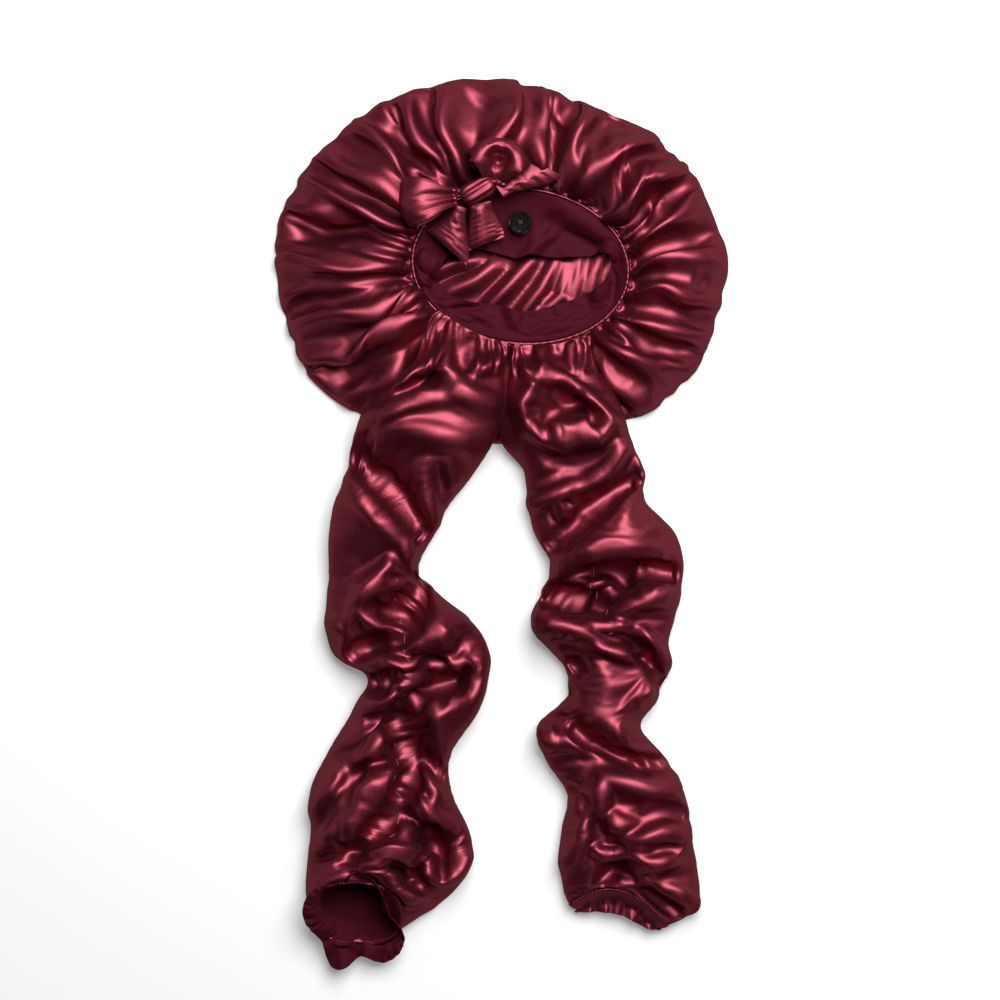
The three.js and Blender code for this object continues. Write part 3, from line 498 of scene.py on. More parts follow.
def cut_size(base, extra_round, extra_down):
    """The flat cut that a grid's resting lengths add up to: its longest row and longest column in metres, and
    its area in square metres, as the sum of its cells."""
    across, along = steps_between(base, extra_round, extra_down)
    wide = np.linalg.norm(across, axis=-1).sum(axis=1).max()
    tall = np.linalg.norm(along, axis=-1).sum(axis=0).max()
    area = np.linalg.norm(np.cross((across[1:] + across[:-1]) / 2, along), axis=-1).sum()
    return wide * MM, tall * MM, area * MM**2


# Meshes


def grid_faces(row_count, column_count):
    """The quads of a grid of points whose columns close on themselves, as rows of four indices."""
    i, j = np.meshgrid(np.arange(row_count - 1), np.arange(column_count), indexing="ij")
    k = (j + 1) % column_count
    here, below = i * column_count, (i + 1) * column_count
    return np.stack((here + j, here + k, below + k, below + j), axis=-1).reshape(-1, 4)


def fan(start, count, centre, turned=False):
    """The triangles from a ring of count points, the first at index start, to a centre point."""
    j = np.arange(count)
    k = (j + 1) % count
    first, second = (k, j) if turned else (j, k)
    return np.stack((start + first, start + second, centre + 0 * j), axis=-1).reshape(-1, 3)


def put_mesh(name, points, faces, *triangles):
    """Makes an object of points in millimetres, four-cornered faces and any sets of triangles."""
    mesh = bpy.data.meshes.new(name)
    all_faces = faces.tolist() + [face for each in triangles for face in each.tolist()]
    mesh.from_pydata((points.reshape(-1, 3) * MM).tolist(), [], all_faces)
    mesh.update()
    mesh.shade_smooth()
    made = bpy.data.objects.new(name, mesh)
    bpy.context.scene.collection.objects.link(made)
    return made


def thicken(made, wall):
    """Gives a skin its wall, inwards from the face that shows."""
    solid = made.modifiers.new("wall", "SOLIDIFY")
    solid.thickness = wall * MM
    solid.offset = -1
    solid.use_rim = True
    solid.use_even_offset = False
    return made


def dull_inside(made, colours):
    """Gives the inner side of a walled skin the satin's dull back."""
    made.modifiers["wall"].material_offset = 1
    made.data.materials.append(band_cloth(colours))


def face_out(made):
    """Turns every face of a closed mesh outwards."""
    shape = bmesh.new()
    shape.from_mesh(made.data)
    bmesh.ops.recalc_face_normals(shape, faces=shape.faces)
    shape.to_mesh(made.data)
    shape.free()


def finish_piece(made, material, slot, *nodes):
    """Gives a piece its material, hangs it under the root body and hides the imported nodes it stands for. slot is not
    used.
    """
    made.data.materials.append(material)
    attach(made, "root")
    if nodes:
        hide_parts(*nodes)
    return made


def cloth_piece(name, place, wall, material, slot, node):
    """Makes a settled grid into a walled piece of cloth."""
    made = put_mesh(name, place, grid_faces(*place.shape[:2]))
    thicken(made, wall)
    return finish_piece(made, material, slot, node)


# Materials


def start_material(name, settings):
    """Makes a material with its shader's even values set; returns it, its nodes, its link maker and its shader."""
    material = bpy.data.materials.new(name)
    material.use_nodes = True
    shader = material.node_tree.nodes["Principled BSDF"]
    for key, value in settings.items():
        shader.inputs[key].default_value = value
    return material, material.node_tree.nodes, material.node_tree.links.new, shader


def add_texture(nodes, link, scale, detail=2, kind="ShaderNodeTexNoise"):
    """Adds a texture that stays put on its object; returns its value."""
    texture = nodes.new(kind)
    texture.inputs["Scale"].default_value = scale
    texture.inputs["Detail"].default_value = detail
    place = nodes.new("ShaderNodeTexCoord")
    link(place.outputs["Object"], texture.inputs["Vector"])
    return texture.outputs["Fac"]


def add_tone(nodes, link, shader, factor, colour, spread):
    """Runs the shader's colour from a darker to a lighter tone of one colour."""
    tone = nodes.new("ShaderNodeMix")
    tone.data_type = "RGBA"
    tone.inputs["A"].default_value = (*[c * (1 - spread) for c in colour], 1)
    tone.inputs["B"].default_value = (*[min(1, c * (1 + spread)) for c in colour], 1)
    link(factor, tone.inputs["Factor"])
    link(tone.outputs["Result"], shader.inputs["Base Color"])


def add_bump(nodes, link, shader, height, strength):
    """Raises the surface by up to a fifth of a millimetre."""
    bump = nodes.new("ShaderNodeBump")
    bump.inputs["Strength"].default_value = strength
    bump.inputs["Distance"].default_value = 0.2 * MM
    link(height, bump.inputs["Height"])
    link(bump.outputs["Normal"], shader.inputs["Normal"])


def satin(colours):
    """Glossy warp-faced satin: a fine grain and broader clouds of tone under a wide tinted highlight."""
    name = "burgundy_satin"
    if name in bpy.data.materials:
        return bpy.data.materials[name]
    settings = {
        "Metallic": 1.0,
        "Specular Tint": (0.12, 0.02, 0.035, 1),
        "Coat Weight": 0.07,
        "Coat IOR": 2.2,
        "Coat Roughness": 0.38,
        "Coat Tint": (1, 0.8, 0.84, 1),
        "Sheen Weight": 0.03,
        "Sheen Roughness": 0.3,
        "Sheen Tint": (0.9, 0.3, 0.4, 1),
    }
    material, nodes, link, shader = start_material(name, settings)
    grain = add_texture(nodes, link, 1 / (SATIN_GRAIN * MM))
    cloud = add_texture(nodes, link, 22, 3)
    half, both = nodes.new("ShaderNodeMath"), nodes.new("ShaderNodeMath")
    for part, value, share in ((half, cloud, 0.6), (both, grain, 1.6)):
        part.operation = "MULTIPLY_ADD"
        link(value, part.inputs[0])
        part.inputs[1].default_value = share
    half.inputs[2].default_value = -0.6
    link(half.outputs["Value"], both.inputs[2])
    add_tone(nodes, link, shader, both.outputs["Value"], colours.satin, 0.28)
    rough = nodes.new("ShaderNodeMapRange")
    rough.inputs["To Min"].default_value = SATIN_GLOSS - 0.1
    rough.inputs["To Max"].default_value = SATIN_GLOSS + 0.1
    link(grain, rough.inputs["Value"])
    link(rough.outputs["Result"], shader.inputs["Roughness"])
    add_bump(nodes, link, shader, grain, 0.4)
    return material


def band_cloth(colours):
    """The satin's dull back: a fine matte weave, a little uneven in tone."""
    name = "band_matte"
    if name in bpy.data.materials:
        return bpy.data.materials[name]
    material, nodes, link, shader = start_material(name, {"Roughness": 0.7, "Specular IOR Level": 0.04})
    add_tone(nodes, link, shader, add_texture(nodes, link, 30), colours.band, 0.15)
    add_bump(nodes, link, shader, add_texture(nodes, link, 2400), 0.3)
    return material


def flecked(name, scale, dark, light, settings, kind="ShaderNodeTexNoise"):
    """Makes a new material whose colour runs from dark to light with a fine texture."""
    material, nodes, link, shader = start_material(name, settings)
    tone = nodes.new("ShaderNodeValToRGB")
    tone.color_ramp.elements[0].color = (*dark, 1)
    tone.color_ramp.elements[1].color = (*light, 1)
    link(add_texture(nodes, link, scale, kind=kind), tone.inputs["Fac"])
    link(tone.outputs["Color"], shader.inputs["Base Color"])
    return material


# Sizes and colours


class BonnetSizes(bpy.types.PropertyGroup):
    crest: bpy.props.FloatProperty(
        name="Crest", description="Height of the crown's folds before they settle", default=34 * MM, unit="LENGTH"
    )
    wall: bpy.props.FloatProperty(
        name="Wall", description="Thickness of the satin", default=0.5 * MM, unit="LENGTH", precision=4
    )
    columns: bpy.props.IntProperty(name="Columns", description="Points round the crown", default=432, min=96)
    sleeve_columns: bpy.props.IntProperty(
        name="Sleeve columns", description="Points round a sleeve", default=144, min=32
    )


class BonnetColours(bpy.types.PropertyGroup):
    satin: bpy.props.FloatVectorProperty(
        name="Satin",
        description="Colour of the satin",
        subtype="COLOR",
        default=(0.155, 0.0175, 0.032),
        min=0,
        max=1,
    )
    band: bpy.props.FloatVectorProperty(
        name="Band",
        description="Colour of the inner band",
        subtype="COLOR",
        default=(0.034, 0.002, 0.0065),
        min=0,
        max=1,
    )


class BONNET_OT_crown(bpy.types.Operator):
    """Make the gathered crown, with its top layer, outer fold and back layer"""

    bl_idname = "bonnet.crown"
    bl_label = "Crown"

    def execute(self, context):
        sizes, colours = context.scene.bonnet_sizes, context.scene.bonnet_colours
        columns = sizes.columns
        crest = sizes.crest / MM
        coarse = columns // 2
        share, height, depth = (CROWN_PROFILE[:, k][:, None] for k in range(3))
        under = (np.arange(len(CROWN_PROFILE)) > np.argmax(CROWN_PROFILE[:, 0]))[:, None]

        def outline(count):
            angle = -2 * np.pi * np.arange(count) / count
            reach = round_table(CROWN_EDGE, 1, np.degrees(angle))
            return angle, np.stack((CROWN_X + reach * np.cos(angle), CROWN_Y + reach * np.sin(angle)), axis=-1)

        angle, edge = outline(coarse)
        turn = np.degrees(angle) % 360
        start = rim_point(angle, 2.6)
        middle = np.array((CROWN_X, CROWN_Y))
        inner = np.where(under[..., None], middle, start[None, :, :2])
        xy = inner * (1 - share[..., None]) + edge[None] * share[..., None]
        off = np.abs((turn - SLEEVES_ANGLE + 180) % 360 - 180)
        pressed = (1 - smooth_step(off, *SLEEVES_REACH))[None, :]
        top = crest * (1 - pressed) + PRESSED_CREST * pressed
        flow = np.where(under, 1, smooth_step(share, 0, 0.1))
        z = start[None, :, 2] * (1 - flow) + flow * top * height
        base = np.dstack((xy, z))
        top_rows = int(np.argmax(CROWN_PROFILE[:, 0])) + 1
        found = crest_turns(CROWN_FOLDS, base[:top_rows], turn, share[:top_rows, 0])
        crests, heights = (np.concatenate((f, np.repeat(f[-1:], len(share) - top_rows, axis=0))) for f in found)
        ridge, gap, tall, lean = ridges(crests, heights, turn, 5)
        away = np.hypot(xy[..., 0] - CROWN_X, xy[..., 1] - CROWN_Y)
        rise = np.minimum(0.9 * np.radians(gap) * away, FOLD_RISE * tall / 8) * depth * (1 - 0.7 * pressed)
        seeded = base.copy()
        seeded[..., 2] += rise * (ridge - 0.55)
        side = 0.6 * lean * rise * ridge
        out = EDGE_SCALLOP * depth * (ridge - 0.6) * smooth_step(share, 0.6, 1.0)
        seeded[..., 0] += -np.sin(angle) * side + np.cos(angle) * out
        seeded[..., 1] += np.cos(angle) * side + np.sin(angle) * out
        seeded[..., 2] = np.maximum(seeded[..., 2], 1.0)
        free = np.ones_like(z)
        free[0] = 0
        free[-2:] = 0
        ceiling = np.where(under, 3, CROWN_CEILING * (1 - pressed) + PRESSED_CEILING * pressed)
        floor = np.where(under | (share > 0.97), 0.7, 3) + 0 * z
        settled = settle(
            seeded, seeded, 1.02, 1.0, free, floor, ceiling,
            steps=60, weight=0.02, swell=0.02, keep=0.05, bend=(0.12, 0.7),
        )
        settled[1:-1] = (settled[:-2] + 2 * settled[1:-1] + settled[2:]) / 4
        fine = resample(settled, FINE_CROWN_ROWS, columns, 1.0, 0.5)
        gather = np.linspace(0, 1, len(fine))[:, None]
        close = 1 - smooth_step(gather, 0.02, 0.17)
        angle, _ = outline(columns)
        small = gathers(angle[None, :], np.random.default_rng(4), (47, 61, 79), 2.2, 3)
        streak = soft_noise(150 * angle[None, :] + 0 * gather, 25 * gather + 0 * angle[None, :], 13, 6)
        seeded = fine.copy()
        near_rim = 0.8 * small * close * smooth_step(gather, 0, 0.03)
        beyond = 0.2 * streak * smooth_step(gather, 0.1, 0.3) * (1 - smooth_step(gather, 0.8, 0.9))
        seeded[..., 2] += near_rim + beyond
        free = np.ones_like(fine[..., 0])
        free[0] = 0
        free[-6:] = 0
        settled = settle(
            fine, seeded, 1.0 + 0.4 * close, 1.0, free, 0.6, 60.0,
            steps=60, weight=0.015, swell=0.015, keep=0.05, bend=(0.3, 0.6),
        )
        cut = cut_size(fine, 1.0 + 0.4 * close, 1.0)[2]
        last_ring = settled[-1]
        back = []
        for out in BACK_RINGS:
            x = CROWN_X + (last_ring[:, 0] - CROWN_X) * out
            y = CROWN_Y + (last_ring[:, 1] - CROWN_Y) * out
            lift = 0.85 * fold_height(LINING_FOLDS, x, y) * smooth_step(1 - out, 0.3, 0.5)
            back.append(np.stack((x, y, BACK_HEIGHT + lift), axis=-1))
        cut += cut_size(np.array(back), 1.0, 1.0)[2]
        points = np.concatenate((settled, np.array(back)))
        count = len(points)
        pole = np.array([[CROWN_X, CROWN_Y, BACK_HEIGHT]])
        closing = fan((count - 1) * columns, columns, count * columns)
        points = np.concatenate((points.reshape(-1, 3), pole))
        made = put_mesh("crown_satin", points, grid_faces(count, columns), closing)
        thicken(made, sizes.wall / MM)
        finish_piece(made, satin(colours), "satin", "crown")
        return {"FINISHED"}


def sew(name, start, end, thick):
    """Lays a stitch between each two points: a thin tube that swells at its middle and closes at its ends."""
    rings, sides = 7, 6
    along = np.linspace(0, 1, rings)
    turn = 2 * np.pi * np.arange(sides) / sides
    way = end - start
    way /= np.linalg.norm(way, axis=-1, keepdims=True) + 1e-9
    side = np.cross(way, (0, 0, 1))
    side /= np.linalg.norm(side, axis=-1, keepdims=True) + 1e-9
    over = np.cross(side, way)
    centre = start[:, None] + (end - start)[:, None] * along[None, :, None]
    size = thick * (0.15 + 0.85 * np.sin(np.pi * along) ** 0.5)
    c, s = (wave(turn)[None, None, :, None] for wave in (np.cos, np.sin))
    ring = side[:, None, None] * c + over[:, None, None] * s
    points = centre[:, :, None] + ring * size[None, :, None, None]
    caps = np.stack((start, end), axis=1)
    number = np.arange(len(start))[:, None]
    first = rings * sides * number
    last = first + (rings - 1) * sides
    cap = rings * sides * len(start) + 2 * number
    body = (grid_faces(rings, sides)[None] + first[..., None]).reshape(-1, 4)
    points = np.concatenate((points.reshape(-1, 3), caps.reshape(-1, 3)))
    made = put_mesh(name, points, body, fan(first, sides, cap, True), fan(last, sides, cap + 1))
    face_out(made)
    dark, light = (0.1, 0.02, 0.03), (0.36, 0.1, 0.13)
    thread = bpy.data.materials.get("sewing_thread")
    thread = thread or flecked("sewing_thread", 1500, dark, light, {"Roughness": 0.5})
    return finish_piece(made, thread, "thread")


def sleeve_grid(table, columns, row_count):
    """Lofts a flattened tube through a table's sections, as the part's own sleeves are."""
    at = np.linspace(0, len(table) - 1, row_count)
    x, y, z, half, rise, pitch, bow, skew = (run_table(table, k, at)[:, None] for k in range(8))
    turn = 2 * np.pi * np.arange(columns) / columns
    c, s = np.cos(turn)[None, :], np.sin(turn)[None, :]
    across = np.sign(c) * np.abs(c) ** 0.8
    over = np.sign(s) * np.abs(s) ** 0.85
    pitch = np.radians(pitch)
    px = x + half * across
    py = y + rise * over * np.sin(pitch) + bow * (1 - across**2) - skew * across
    pz = z + rise * over * np.cos(pitch)
    return np.dstack((px, py, np.maximum(pz, 0.4))), at, across, over


class BONNET_OT_sleeves(bpy.types.Operator):
    """Make the two ruched sleeves"""

    bl_idname = "bonnet.sleeves"
    bl_label = "Sleeves"

    def execute(self, context):
        sizes, colours = context.scene.bonnet_sizes, context.scene.bonnet_colours
        columns = sizes.sleeve_columns
        for node, table, seed, ruched in (
            ("left_sleeve", LEFT_SLEEVE, 11, 1.5),
            ("right_sleeve", RIGHT_SLEEVE, 23, 1.38),
        ):
            base, at, across, over = sleeve_grid(table, 96, 176)
            length = np.cumsum(np.r_[0, np.linalg.norm(np.diff(base.mean(axis=1), axis=0), axis=-1)])[:, None]
            root = 1 - smooth_step(length, 0, 20)
            turn = np.arccos(np.clip((base[..., 0] - RIM_X) / RIM_HALF[0], -0.99, 0.99))
            base[..., 1] += root * (rim_point(-turn, 1.5)[..., 1] - base[0, 0, 1])
            base[..., 2] += root * (17 + 2 * np.sign(over) - base[..., 2])
            upper = smooth_step(over, -0.1, 0.35)
            seam = run_table(table, 9, at)[:, None]
            half = run_table(table, 3, at)[:, None]
            gathered = smooth_step(run_table(table, 8, at)[:, None], 1.45, 1.65)
            away = (across - seam) * half
            wave = np.sin(2 * np.pi * length / 11 + 1.3 * np.sin(length / 9 + seed) + 0.05 * away)
            seeded = base.copy()
            folds = fold_height(SLEEVE_FOLDS, base[..., 0], base[..., 1])
            seeded[..., 2] += upper * 1.75 * folds
            seeded[..., 0] += 0.45 * folds * across * np.abs(across) ** 3
            if node == "right_sleeve":
                flap = smooth_step(base[..., 1], 34, 62) * (1 - smooth_step(base[..., 1], 118, 132))
                seeded[..., 0] -= 15 * flap * smooth_step(-across, 0.3, 0.95) * smooth_step(-over, 0.02, 0.3)
            puckers = 2.2 * wave * np.exp(-((away / 11) ** 2))
            groove = 5 * np.exp(-((away / 3) ** 2))
            seeded[..., 2] += upper * gathered * (puckers - groove)
            pucker = np.sin(base[..., 0] * 1.05 + seed) + np.sin(base[..., 0] * 0.66 + 2 * seed)
            seeded[..., 2] += upper * 1.6 * pucker * (1 - smooth_step(length, 4, 34)) * smooth_step(length, 0, 3)
            seeded[..., 2] += 0.5 * upper * soft_noise(base[..., 0], base[..., 1], 36, seed)
            ends = smooth_step(length, 0, 4) * smooth_step(length.max() - length, 0, 3)
            free = ends * np.ones_like(base[..., 0])
            crown_top = 16 * smooth_step(base[..., 1], 56, 66)
            floor = 0.4 + crown_top + 3 * smooth_step(over, 0.05, 0.4)
            floor = np.minimum(floor, np.maximum(base[..., 2], 0.4))
            ceiling = np.where(over < 0, np.maximum(base[..., 2], 8), 56)
            seeded[..., 2] = np.clip(seeded[..., 2], floor, ceiling)
            settled = settle(
                seeded, seeded, 1.02, 1.02, free, floor, ceiling,
                steps=50, weight=0.02, swell=0.03, keep=0.05, bend=(0.3, 0.3),
            )
            settled = resample(settled, FINE_SLEEVE_ROWS, columns, 0.6, 0.5)
            share = np.arange(FINE_SLEEVE_ROWS) / (FINE_SLEEVE_ROWS - 1)
            fine_at = share * (len(table) - 1)
            side = run_table(table, 9, fine_at)
            seam_turn = np.arccos(np.clip(np.sign(side) * np.abs(side) ** 1.25, -1, 1))
            column = np.rint(seam_turn / (2 * np.pi) * columns).astype(int)
            line = settled[np.arange(FINE_SLEEVE_ROWS), column] + (0, 0, 0.8)
            chosen = np.nonzero(run_table(table, 8, fine_at) > ruched)[0][::6]
            chosen = chosen[chosen < FINE_SLEEVE_ROWS - 2]
            stitches = sew(node + "_stitches", line[chosen], line[chosen + 2], 0.32)
            made = cloth_piece(node + "_satin", settled, sizes.wall / MM, satin(colours), "satin", node)
            dull_inside(made, colours)
        return {"FINISHED"}


class BONNET_OT_opening(bpy.types.Operator):
    """Make the elastic rim and the matte band turned in from it"""

    bl_idname = "bonnet.opening"
    bl_label = "Head opening"

    def execute(self, context):
        colours = context.scene.bonnet_colours
        angle = -2 * np.pi * np.arange(96) / 96
        start = rim_point(angle, -1.0)
        start[:, 2] -= 0.5
        turn = np.degrees(angle) % 360
        end = np.stack([np.interp(turn, BAND_EDGE[:, 0], BAND_EDGE[:, k], period=360) for k in (1, 2, 3)], axis=-1)
        end = (end + 0.5 * (np.roll(end, 1, axis=0) + np.roll(end, -1, axis=0))) / 2
        share = np.linspace(0, 1, 12)[:, None]
        base = start[None] * (1 - share[..., None]) + end[None] * share[..., None]
        low = smooth_step(-np.sin(angle), 0.0, 0.8)[None, :]
        base[..., 2] -= np.sin(np.pi * share) * (1.0 + 2.5 * low)
        seeded = base.copy()
        seeded[..., 2] += 1.3 * fold_height(BAND_FOLDS, base[..., 0], base[..., 1]) * smooth_step(share, 0.05, 0.3)
        free = smooth_step(share, 0.0, 0.1) * np.ones_like(base[..., 0])
        extra = 1.0 + 0.06 * share * (0.4 + 0.6 * np.abs(np.cos(angle))[None, :])
        settled = settle(
            seeded, seeded, extra, 1.0, free, 11.0, 30.0,
            steps=40, weight=0.01, swell=0.0, keep=0.08, bend=(0.4, 0.4),
        )
        settled = resample(settled, 40, 384, 0.3, 0.3)
        band = cloth_piece("inner_band_cloth", settled, 0.8, band_cloth(colours), "band_cloth", "inner_band")

        length, sides = 720, 12
        angle = 2 * np.pi * np.arange(length) / length
        turn = 2 * np.pi * np.arange(sides) / sides
        pucker = gathers(angle, np.random.default_rng(8), (68, 83, 97), 1.5, 4) / 3
        thick = 1.25 + 0.35 * pucker[:, None] * (0.6 + 0.4 * np.cos(turn)[None, :])
        points = np.stack([rim_point(angle, 0.6 + 0 * angle)] * sides, axis=1)
        out = rim_point(angle, 3.0) - rim_point(angle, 2.0)
        points += out[:, None, :] * (thick * np.cos(turn)[None, :])[..., None]
        points[..., 2] -= thick * np.sin(turn)[None, :] + 1.0
        made = put_mesh("rim_casing", points, grid_faces(length + 1, sides) % (length * sides))
        finish_piece(made, satin(colours), "satin", "elastic_rim")
        return {"FINISHED"}


class BONNET_OT_bow(bpy.types.Operator):
    """Make the satin tie: a knot, two loops and three tails"""

    bl_idname = "bonnet.bow"
    bl_label = "Bow"

    def execute(self, context):
        colours = context.scene.bonnet_colours
        for index, (x, y, z, reach, turn, near, far, thick, lift) in enumerate(BOW_LOOPS):
            name = ("bow_left_loop", "bow_right_loop")[index]
            around = 2 * np.pi * np.arange(48) / 48
            side = np.linspace(1, -1, 17)[:, None]
            out = 0.5 - 0.5 * np.cos(around)[None, :]
            half = near + (far - near) * smooth_step(out, 0.0, 0.9)
            dome = 1 - 0.55 * side**2
            pleat = np.sin(7 * side + index) * (1 - out) ** 2 * 1.2
            px = reach * out * (1 - (0.12 + 0.26 * index) * side**2)
            py = side * half
            curl = 2.6 * np.cos(2 * np.pi * np.hypot(px - 0.45 * reach, py) / 13) * smooth_step(out, 0.2, 0.5)
            swirl = index * curl
            pz = lift * out + thick / 2 * np.sin(around)[None, :] * (0.25 + 0.75 * out) * dome + pleat + swirl
            base = np.dstack((*swing(px, py, np.radians(turn), x, y), z + pz))
            seeded = base.copy()
            seeded[..., 2] += 0.5 * soft_noise(base[..., 0], base[..., 1], 14, 31 + index)
            free = smooth_step(out, 0.02, 0.2) * np.ones_like(px)
            settled = settle(
                base, seeded, 1.02, 1.05, free, 30.0, 58.0,
                steps=60, weight=0.01, swell=0.05, keep=0.08, bend=(0.6, 0.6),
            )
            settled = resample(settled, 64, 192, 0.3, 0.3)
            made = cloth_piece(name + "_satin", settled, 0.7, satin(colours), "satin", name)
        for index, (x, y, z, reach, turn, near, far, drop, slant) in enumerate(BOW_TAILS):
            name = ("bow_left_tail", "bow_middle_tail", "bow_right_tail")[index]
            around = 2 * np.pi * np.arange(40) / 40
            share = np.linspace(0, 1, 20)[:, None]
            c, s = np.cos(around)[None, :], np.sin(around)[None, :]
            across = np.sign(c) * np.abs(c) ** 0.6
            half = near + (far - near) * smooth_step(share, 0, 0.9)
            thin = 1.2 * (1 - smooth_step(share, 0.9, 1.0) * 0.9)
            px = reach * share * (1 + slant * across)
            py = half * across
            pleat = 2.2 * np.cos(2.5 * across + 0.8 * index) * smooth_step(share, 0, 0.3)
            pz = -drop * share**2 + thin * s + pleat
            base = np.dstack((*swing(px, py, np.radians(turn), x, y), z + pz))
            seeded = base.copy()
            seeded[..., 2] += 0.6 * soft_noise(base[..., 0], base[..., 1], 16, 51 + index)
            free = smooth_step(share, 0.02, 0.2) * np.ones_like(px)
            settled = settle(
                base, seeded, 1.02, 1.03, free, 22.0, 58.0,
                steps=60, weight=0.01, swell=0.01, keep=0.08, bend=(0.6, 0.6),
            )
            settled = resample(settled, 60, 160, 0.3, 0.3)
            made = cloth_piece(name + "_satin", settled, 0.4, satin(colours), "satin", name)
        rings, sides = 40, 64
        share = np.linspace(-1, 1, rings)[:, None]
        around = 2 * np.pi * np.arange(sides) / sides
        wide = 8.6 * (1 - 0.45 * np.abs(share) ** 5)
        wrap = 0.5 * np.cos(9 * around[None, :] + 1.5 * share) * (1 - share**4)
        px = KNOT_HALF_LENGTH * share * np.ones_like(around)[None, :]
        py = (wide + wrap) * np.cos(around)[None, :]
        pz = (0.78 * wide + wrap) * np.sin(around)[None, :]
        place = np.dstack((*swing(px, py, KNOT_TURN), pz)) + np.array(KNOT_MIDDLE)
        ends = np.stack((place[0].mean(axis=0), place[-1].mean(axis=0)))
        count = rings * sides
        caps = fan(0, sides, count, True), fan(count - sides, sides, count + 1)
        points = np.concatenate((place.reshape(-1, 3), ends))
        made = put_mesh("bow_knot_satin", points, grid_faces(rings, sides), *caps)
        face_out(made)
        finish_piece(made, satin(colours), "satin", "bow_knot")
        return {"FINISHED"}


class BONNET_OT_cuffs(bpy.types.Operator):
    """Make the elasticated, frilled cuffs"""

    bl_idname = "bonnet.cuffs"
    bl_label = "Cuffs"

    def execute(self, context):
        colours = context.scene.bonnet_colours
        for name, table, profile, count in (
            ("left_cuff", LEFT_SLEEVE, LEFT_CUFF, 34),
            ("right_cuff", RIGHT_SLEEVE, RIGHT_CUFF, 30),
        ):
            ring = sleeve_grid(table, CUFF_COLUMNS, 60)[0][-1]
            pitch = np.radians(table[-1, 5])
            way = np.array((0, -np.cos(pitch), np.sin(pitch)))
            outward = np.cross(np.roll(ring, -1, axis=0) - np.roll(ring, 1, axis=0), -way)
            outward /= np.linalg.norm(outward, axis=-1, keepdims=True)
            outward = sum(np.roll(outward, k, axis=0) for k in range(-30, 31))
            outward /= np.linalg.norm(outward, axis=-1, keepdims=True)
            centre = ring.mean(axis=0)
            if ((ring - centre) * outward).sum() < 0:
                outward = -outward
            step = np.linalg.norm(np.roll(ring, -1, axis=0) - ring, axis=-1)
            walk = 2 * np.pi * np.cumsum(step) / step.sum()
            at = np.linspace(0, len(profile) - 1, CUFF_ROWS)
            on, out, deep = (run_table(profile, k, at)[:, None] for k in range(3))
            dice = np.random.default_rng(count)
            small = gathers(walk, dice, (count * 2, count * 2 + 13), 1.6, 5) / 2
            large = gathers(walk, dice, (5, 8, 13), 1.2, 3) / 2
            grow = smooth_step(at, 4, len(profile) - 1)[:, None]
            facing = (ring - centre) / np.linalg.norm(ring - centre, axis=-1, keepdims=True)
            frill = 0.12 + 0.88 * smooth_step(-0.6 * facing[:, 0] - 0.7 * facing[:, 1], -0.3, 0.7)[None, :]
            frill = np.where(out > 0, frill, 1)
            ripple = deep * ((1 - grow) * small[None, :] + grow * large[None, :])
            drift = deep * 0.2 * grow * np.roll(large, 5)[None, :]
            around = np.arctan2(facing[:, 1], facing[:, 0])
            mouth = ring.copy()
            if name == "left_cuff":
                reach = round_table(LEFT_MOUTH, 1, np.degrees(around))
                mouth[:, 0] = LEFT_MOUTH_MIDDLE[0] + reach * np.cos(around)
                mouth[:, 1] = LEFT_MOUTH_MIDDLE[1] + reach * np.sin(around)
            else:
                mouth[:, 0] += 0.1 * (centre[0] - mouth[:, 0])
            drawn = smooth_step(at, 0.3, 3.5)[:, None, None]
            base = ring[None] * (1 - drawn) + mouth[None] * drawn
            base = base + on[..., None] * way + (out * frill)[..., None] * outward[None]
            if name == "right_cuff":
                lowest = RIGHT_CUFF_LOWEST - 14 * smooth_step(base[..., 0], 70, 120)
                base[..., 1] = lowest + 3 * np.logaddexp(0, (base[..., 1] - lowest) / 3)
            seeded = base + ripple[..., None] * outward[None] + drift[..., None] * way
            free = smooth_step(at, 0, 2)[:, None] * np.ones_like(base[..., 0])
            extra = 1.15 + 0.1 * grow
            settled = settle(
                base, seeded, extra, 1.02, free, 0.6, 62.0,
                steps=70, weight=0.01, swell=0.0, keep=0.06, bend=(0.5, 0.5),
            )
            settled[3:] = sum(np.roll(settled[3:], k, axis=1) for k in (2, 1, 0, -1, -2)) / 5
            made = cloth_piece(name + "_satin", settled, 0.6, satin(colours), "satin", name)
            dull_inside(made, colours)
        return {"FINISHED"}


class BONNET_OT_button(bpy.types.Operator):
    """Give the button and its thread their finish"""

    bl_idname = "bonnet.button"
    bl_label = "Button"

    def execute(self, context):
        resin = flecked(
            "button_resin",
            260,
            (0.002, 0.0015, 0.0015),
            (0.009, 0.006, 0.006),
            {"Roughness": 0.12, "Coat Weight": 0.6},
        )
        dark, light = (0.012, 0.006, 0.007), (0.05, 0.02, 0.024)
        thread = flecked("button_thread", 900, dark, light, {"Roughness": 0.8}, "ShaderNodeTexWave")
        for node, material in (("button", resin), ("button_thread", thread)):
            bpy.data.objects[node].data.materials.clear()
            bpy.data.objects[node].data.materials.append(material)
        return {"FINISHED"}


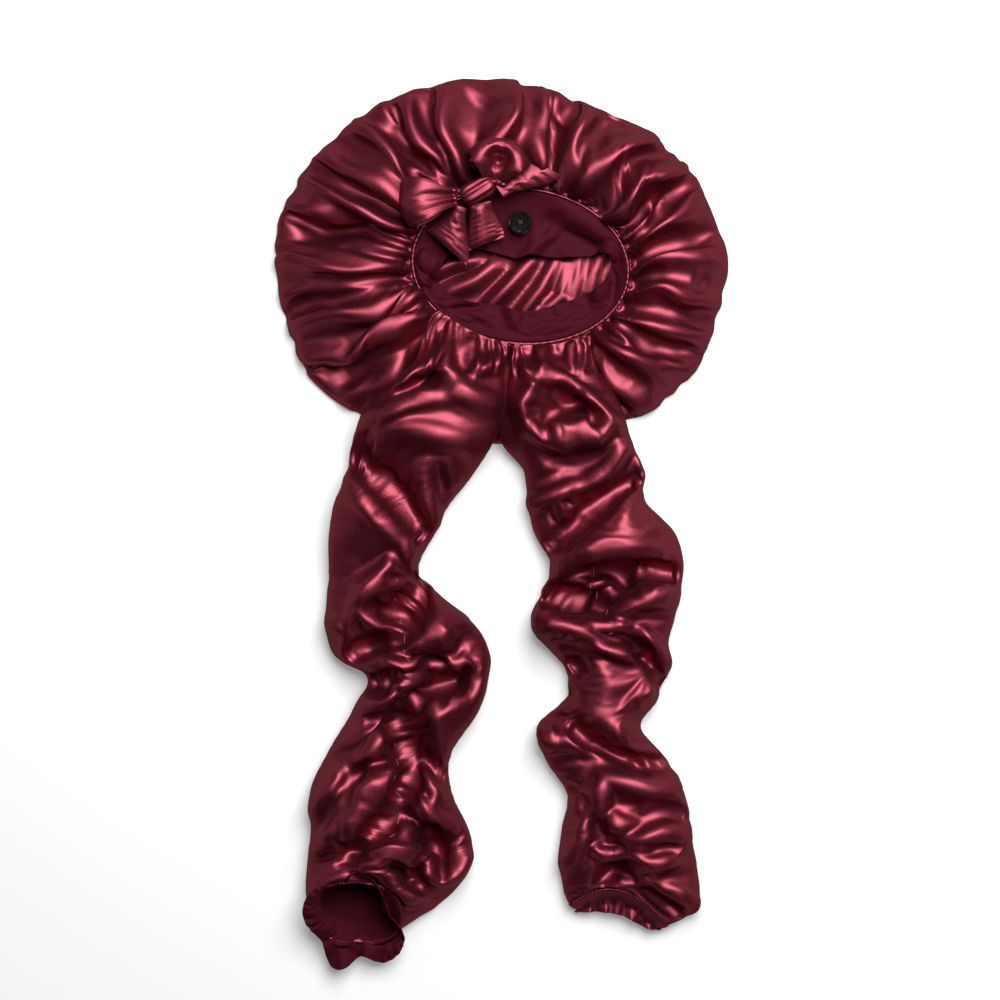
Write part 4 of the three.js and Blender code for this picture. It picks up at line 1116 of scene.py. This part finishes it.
class BONNET_OT_stage(bpy.types.Operator):
    """Make the pale floor, the soft lights and the camera"""

    bl_idname = "bonnet.stage"
    bl_label = "Stage"

    def execute(self, context):
        scene = context.scene
        corners = rows((-4000, -4000, 0), (4000, -4000, 0), (4000, 4000, 0), (-4000, 4000, 0))
        floor = put_mesh("floor", corners, np.array([[0, 1, 2, 3]]))
        settings = {
            "Base Color": (0.48, 0.48, 0.48, 1),
            "Roughness": 0.9,
            "Specular IOR Level": 0.0,
            "Emission Color": (1, 1, 1, 1),
            "Emission Strength": 0.24,
        }
        floor.data.materials.append(start_material("floor_white", settings)[0])
        camera = bpy.data.cameras.new("camera")
        camera.lens = 85
        camera.sensor_width = 36
        camera.clip_end = 20
        seen = bpy.data.objects.new("camera", camera)
        seen.location = (-0.0012, 0.0156, 0.8 * 85 / 36 + 0.02)
        scene.collection.objects.link(seen)
        scene.camera = seen
        for name, energy, size, place, aim in (
            ("key", 90, 1.4, (0.4, 0.8, 1.6), (0, 0.02, 0)),
            ("fill", 1.5, 0.7, (-1.35, 0.1, 0.8), (0, 0, 0)),
            ("low", 0.8, 0.7, (0.5, -1.2, 0.7), (0, 0, 0)),
        ):
            light = bpy.data.lights.new(name, "AREA")
            light.energy = energy
            light.shape = "SQUARE"
            light.size = size
            lamp = bpy.data.objects.new(name, light)
            lamp.location = place
            way = np.array(aim) - np.array(place)
            tilt = np.arccos(-way[2] / np.linalg.norm(way))
            lamp.rotation_euler = (tilt, 0, np.arctan2(way[1], way[0]) - np.pi / 2)
            scene.collection.objects.link(lamp)
        world = bpy.data.worlds.new("studio")
        world.use_nodes = True
        world.node_tree.nodes["Background"].inputs["Color"].default_value = (1, 1, 1, 1)
        world.node_tree.nodes["Background"].inputs["Strength"].default_value = 0.01
        scene.world = world
        scene.view_settings.view_transform = "Standard"
        return {"FINISHED"}


class BONNET_PT_panel(bpy.types.Panel):
    """Lists the sizes, the colours and a button for each group of pieces"""

    bl_label = "Bonnet"
    bl_space_type = "VIEW_3D"
    bl_region_type = "UI"
    bl_category = "Bonnet"

    def draw(self, context):
        layout = self.layout
        for group in (context.scene.bonnet_sizes, context.scene.bonnet_colours):
            for key in group.__annotations__:
                layout.prop(group, key)
        for name in OPERATORS:
            layout.operator(name)


OPERATORS = (
    "bonnet.stage",
    "bonnet.crown",
    "bonnet.opening",
    "bonnet.bow",
    "bonnet.button",
    "bonnet.sleeves",
    "bonnet.cuffs",
)
CLASSES = (
    BonnetSizes,
    BonnetColours,
    BONNET_OT_stage,
    BONNET_OT_crown,
    BONNET_OT_opening,
    BONNET_OT_bow,
    BONNET_OT_button,
    BONNET_OT_sleeves,
    BONNET_OT_cuffs,
    BONNET_PT_panel,
)


def register():
    for made in CLASSES:
        bpy.utils.register_class(made)
    bpy.types.Scene.bonnet_sizes = bpy.props.PointerProperty(type=BonnetSizes)
    bpy.types.Scene.bonnet_colours = bpy.props.PointerProperty(type=BonnetColours)


def unregister():
    del bpy.types.Scene.bonnet_colours
    del bpy.types.Scene.bonnet_sizes
    for made in reversed(CLASSES):
        bpy.utils.unregister_class(made)


def main():
    register()
    for name in OPERATORS:
        group, call = name.split(".")
        getattr(getattr(bpy.ops, group), call)()


if __name__ == "__main__":
    main()
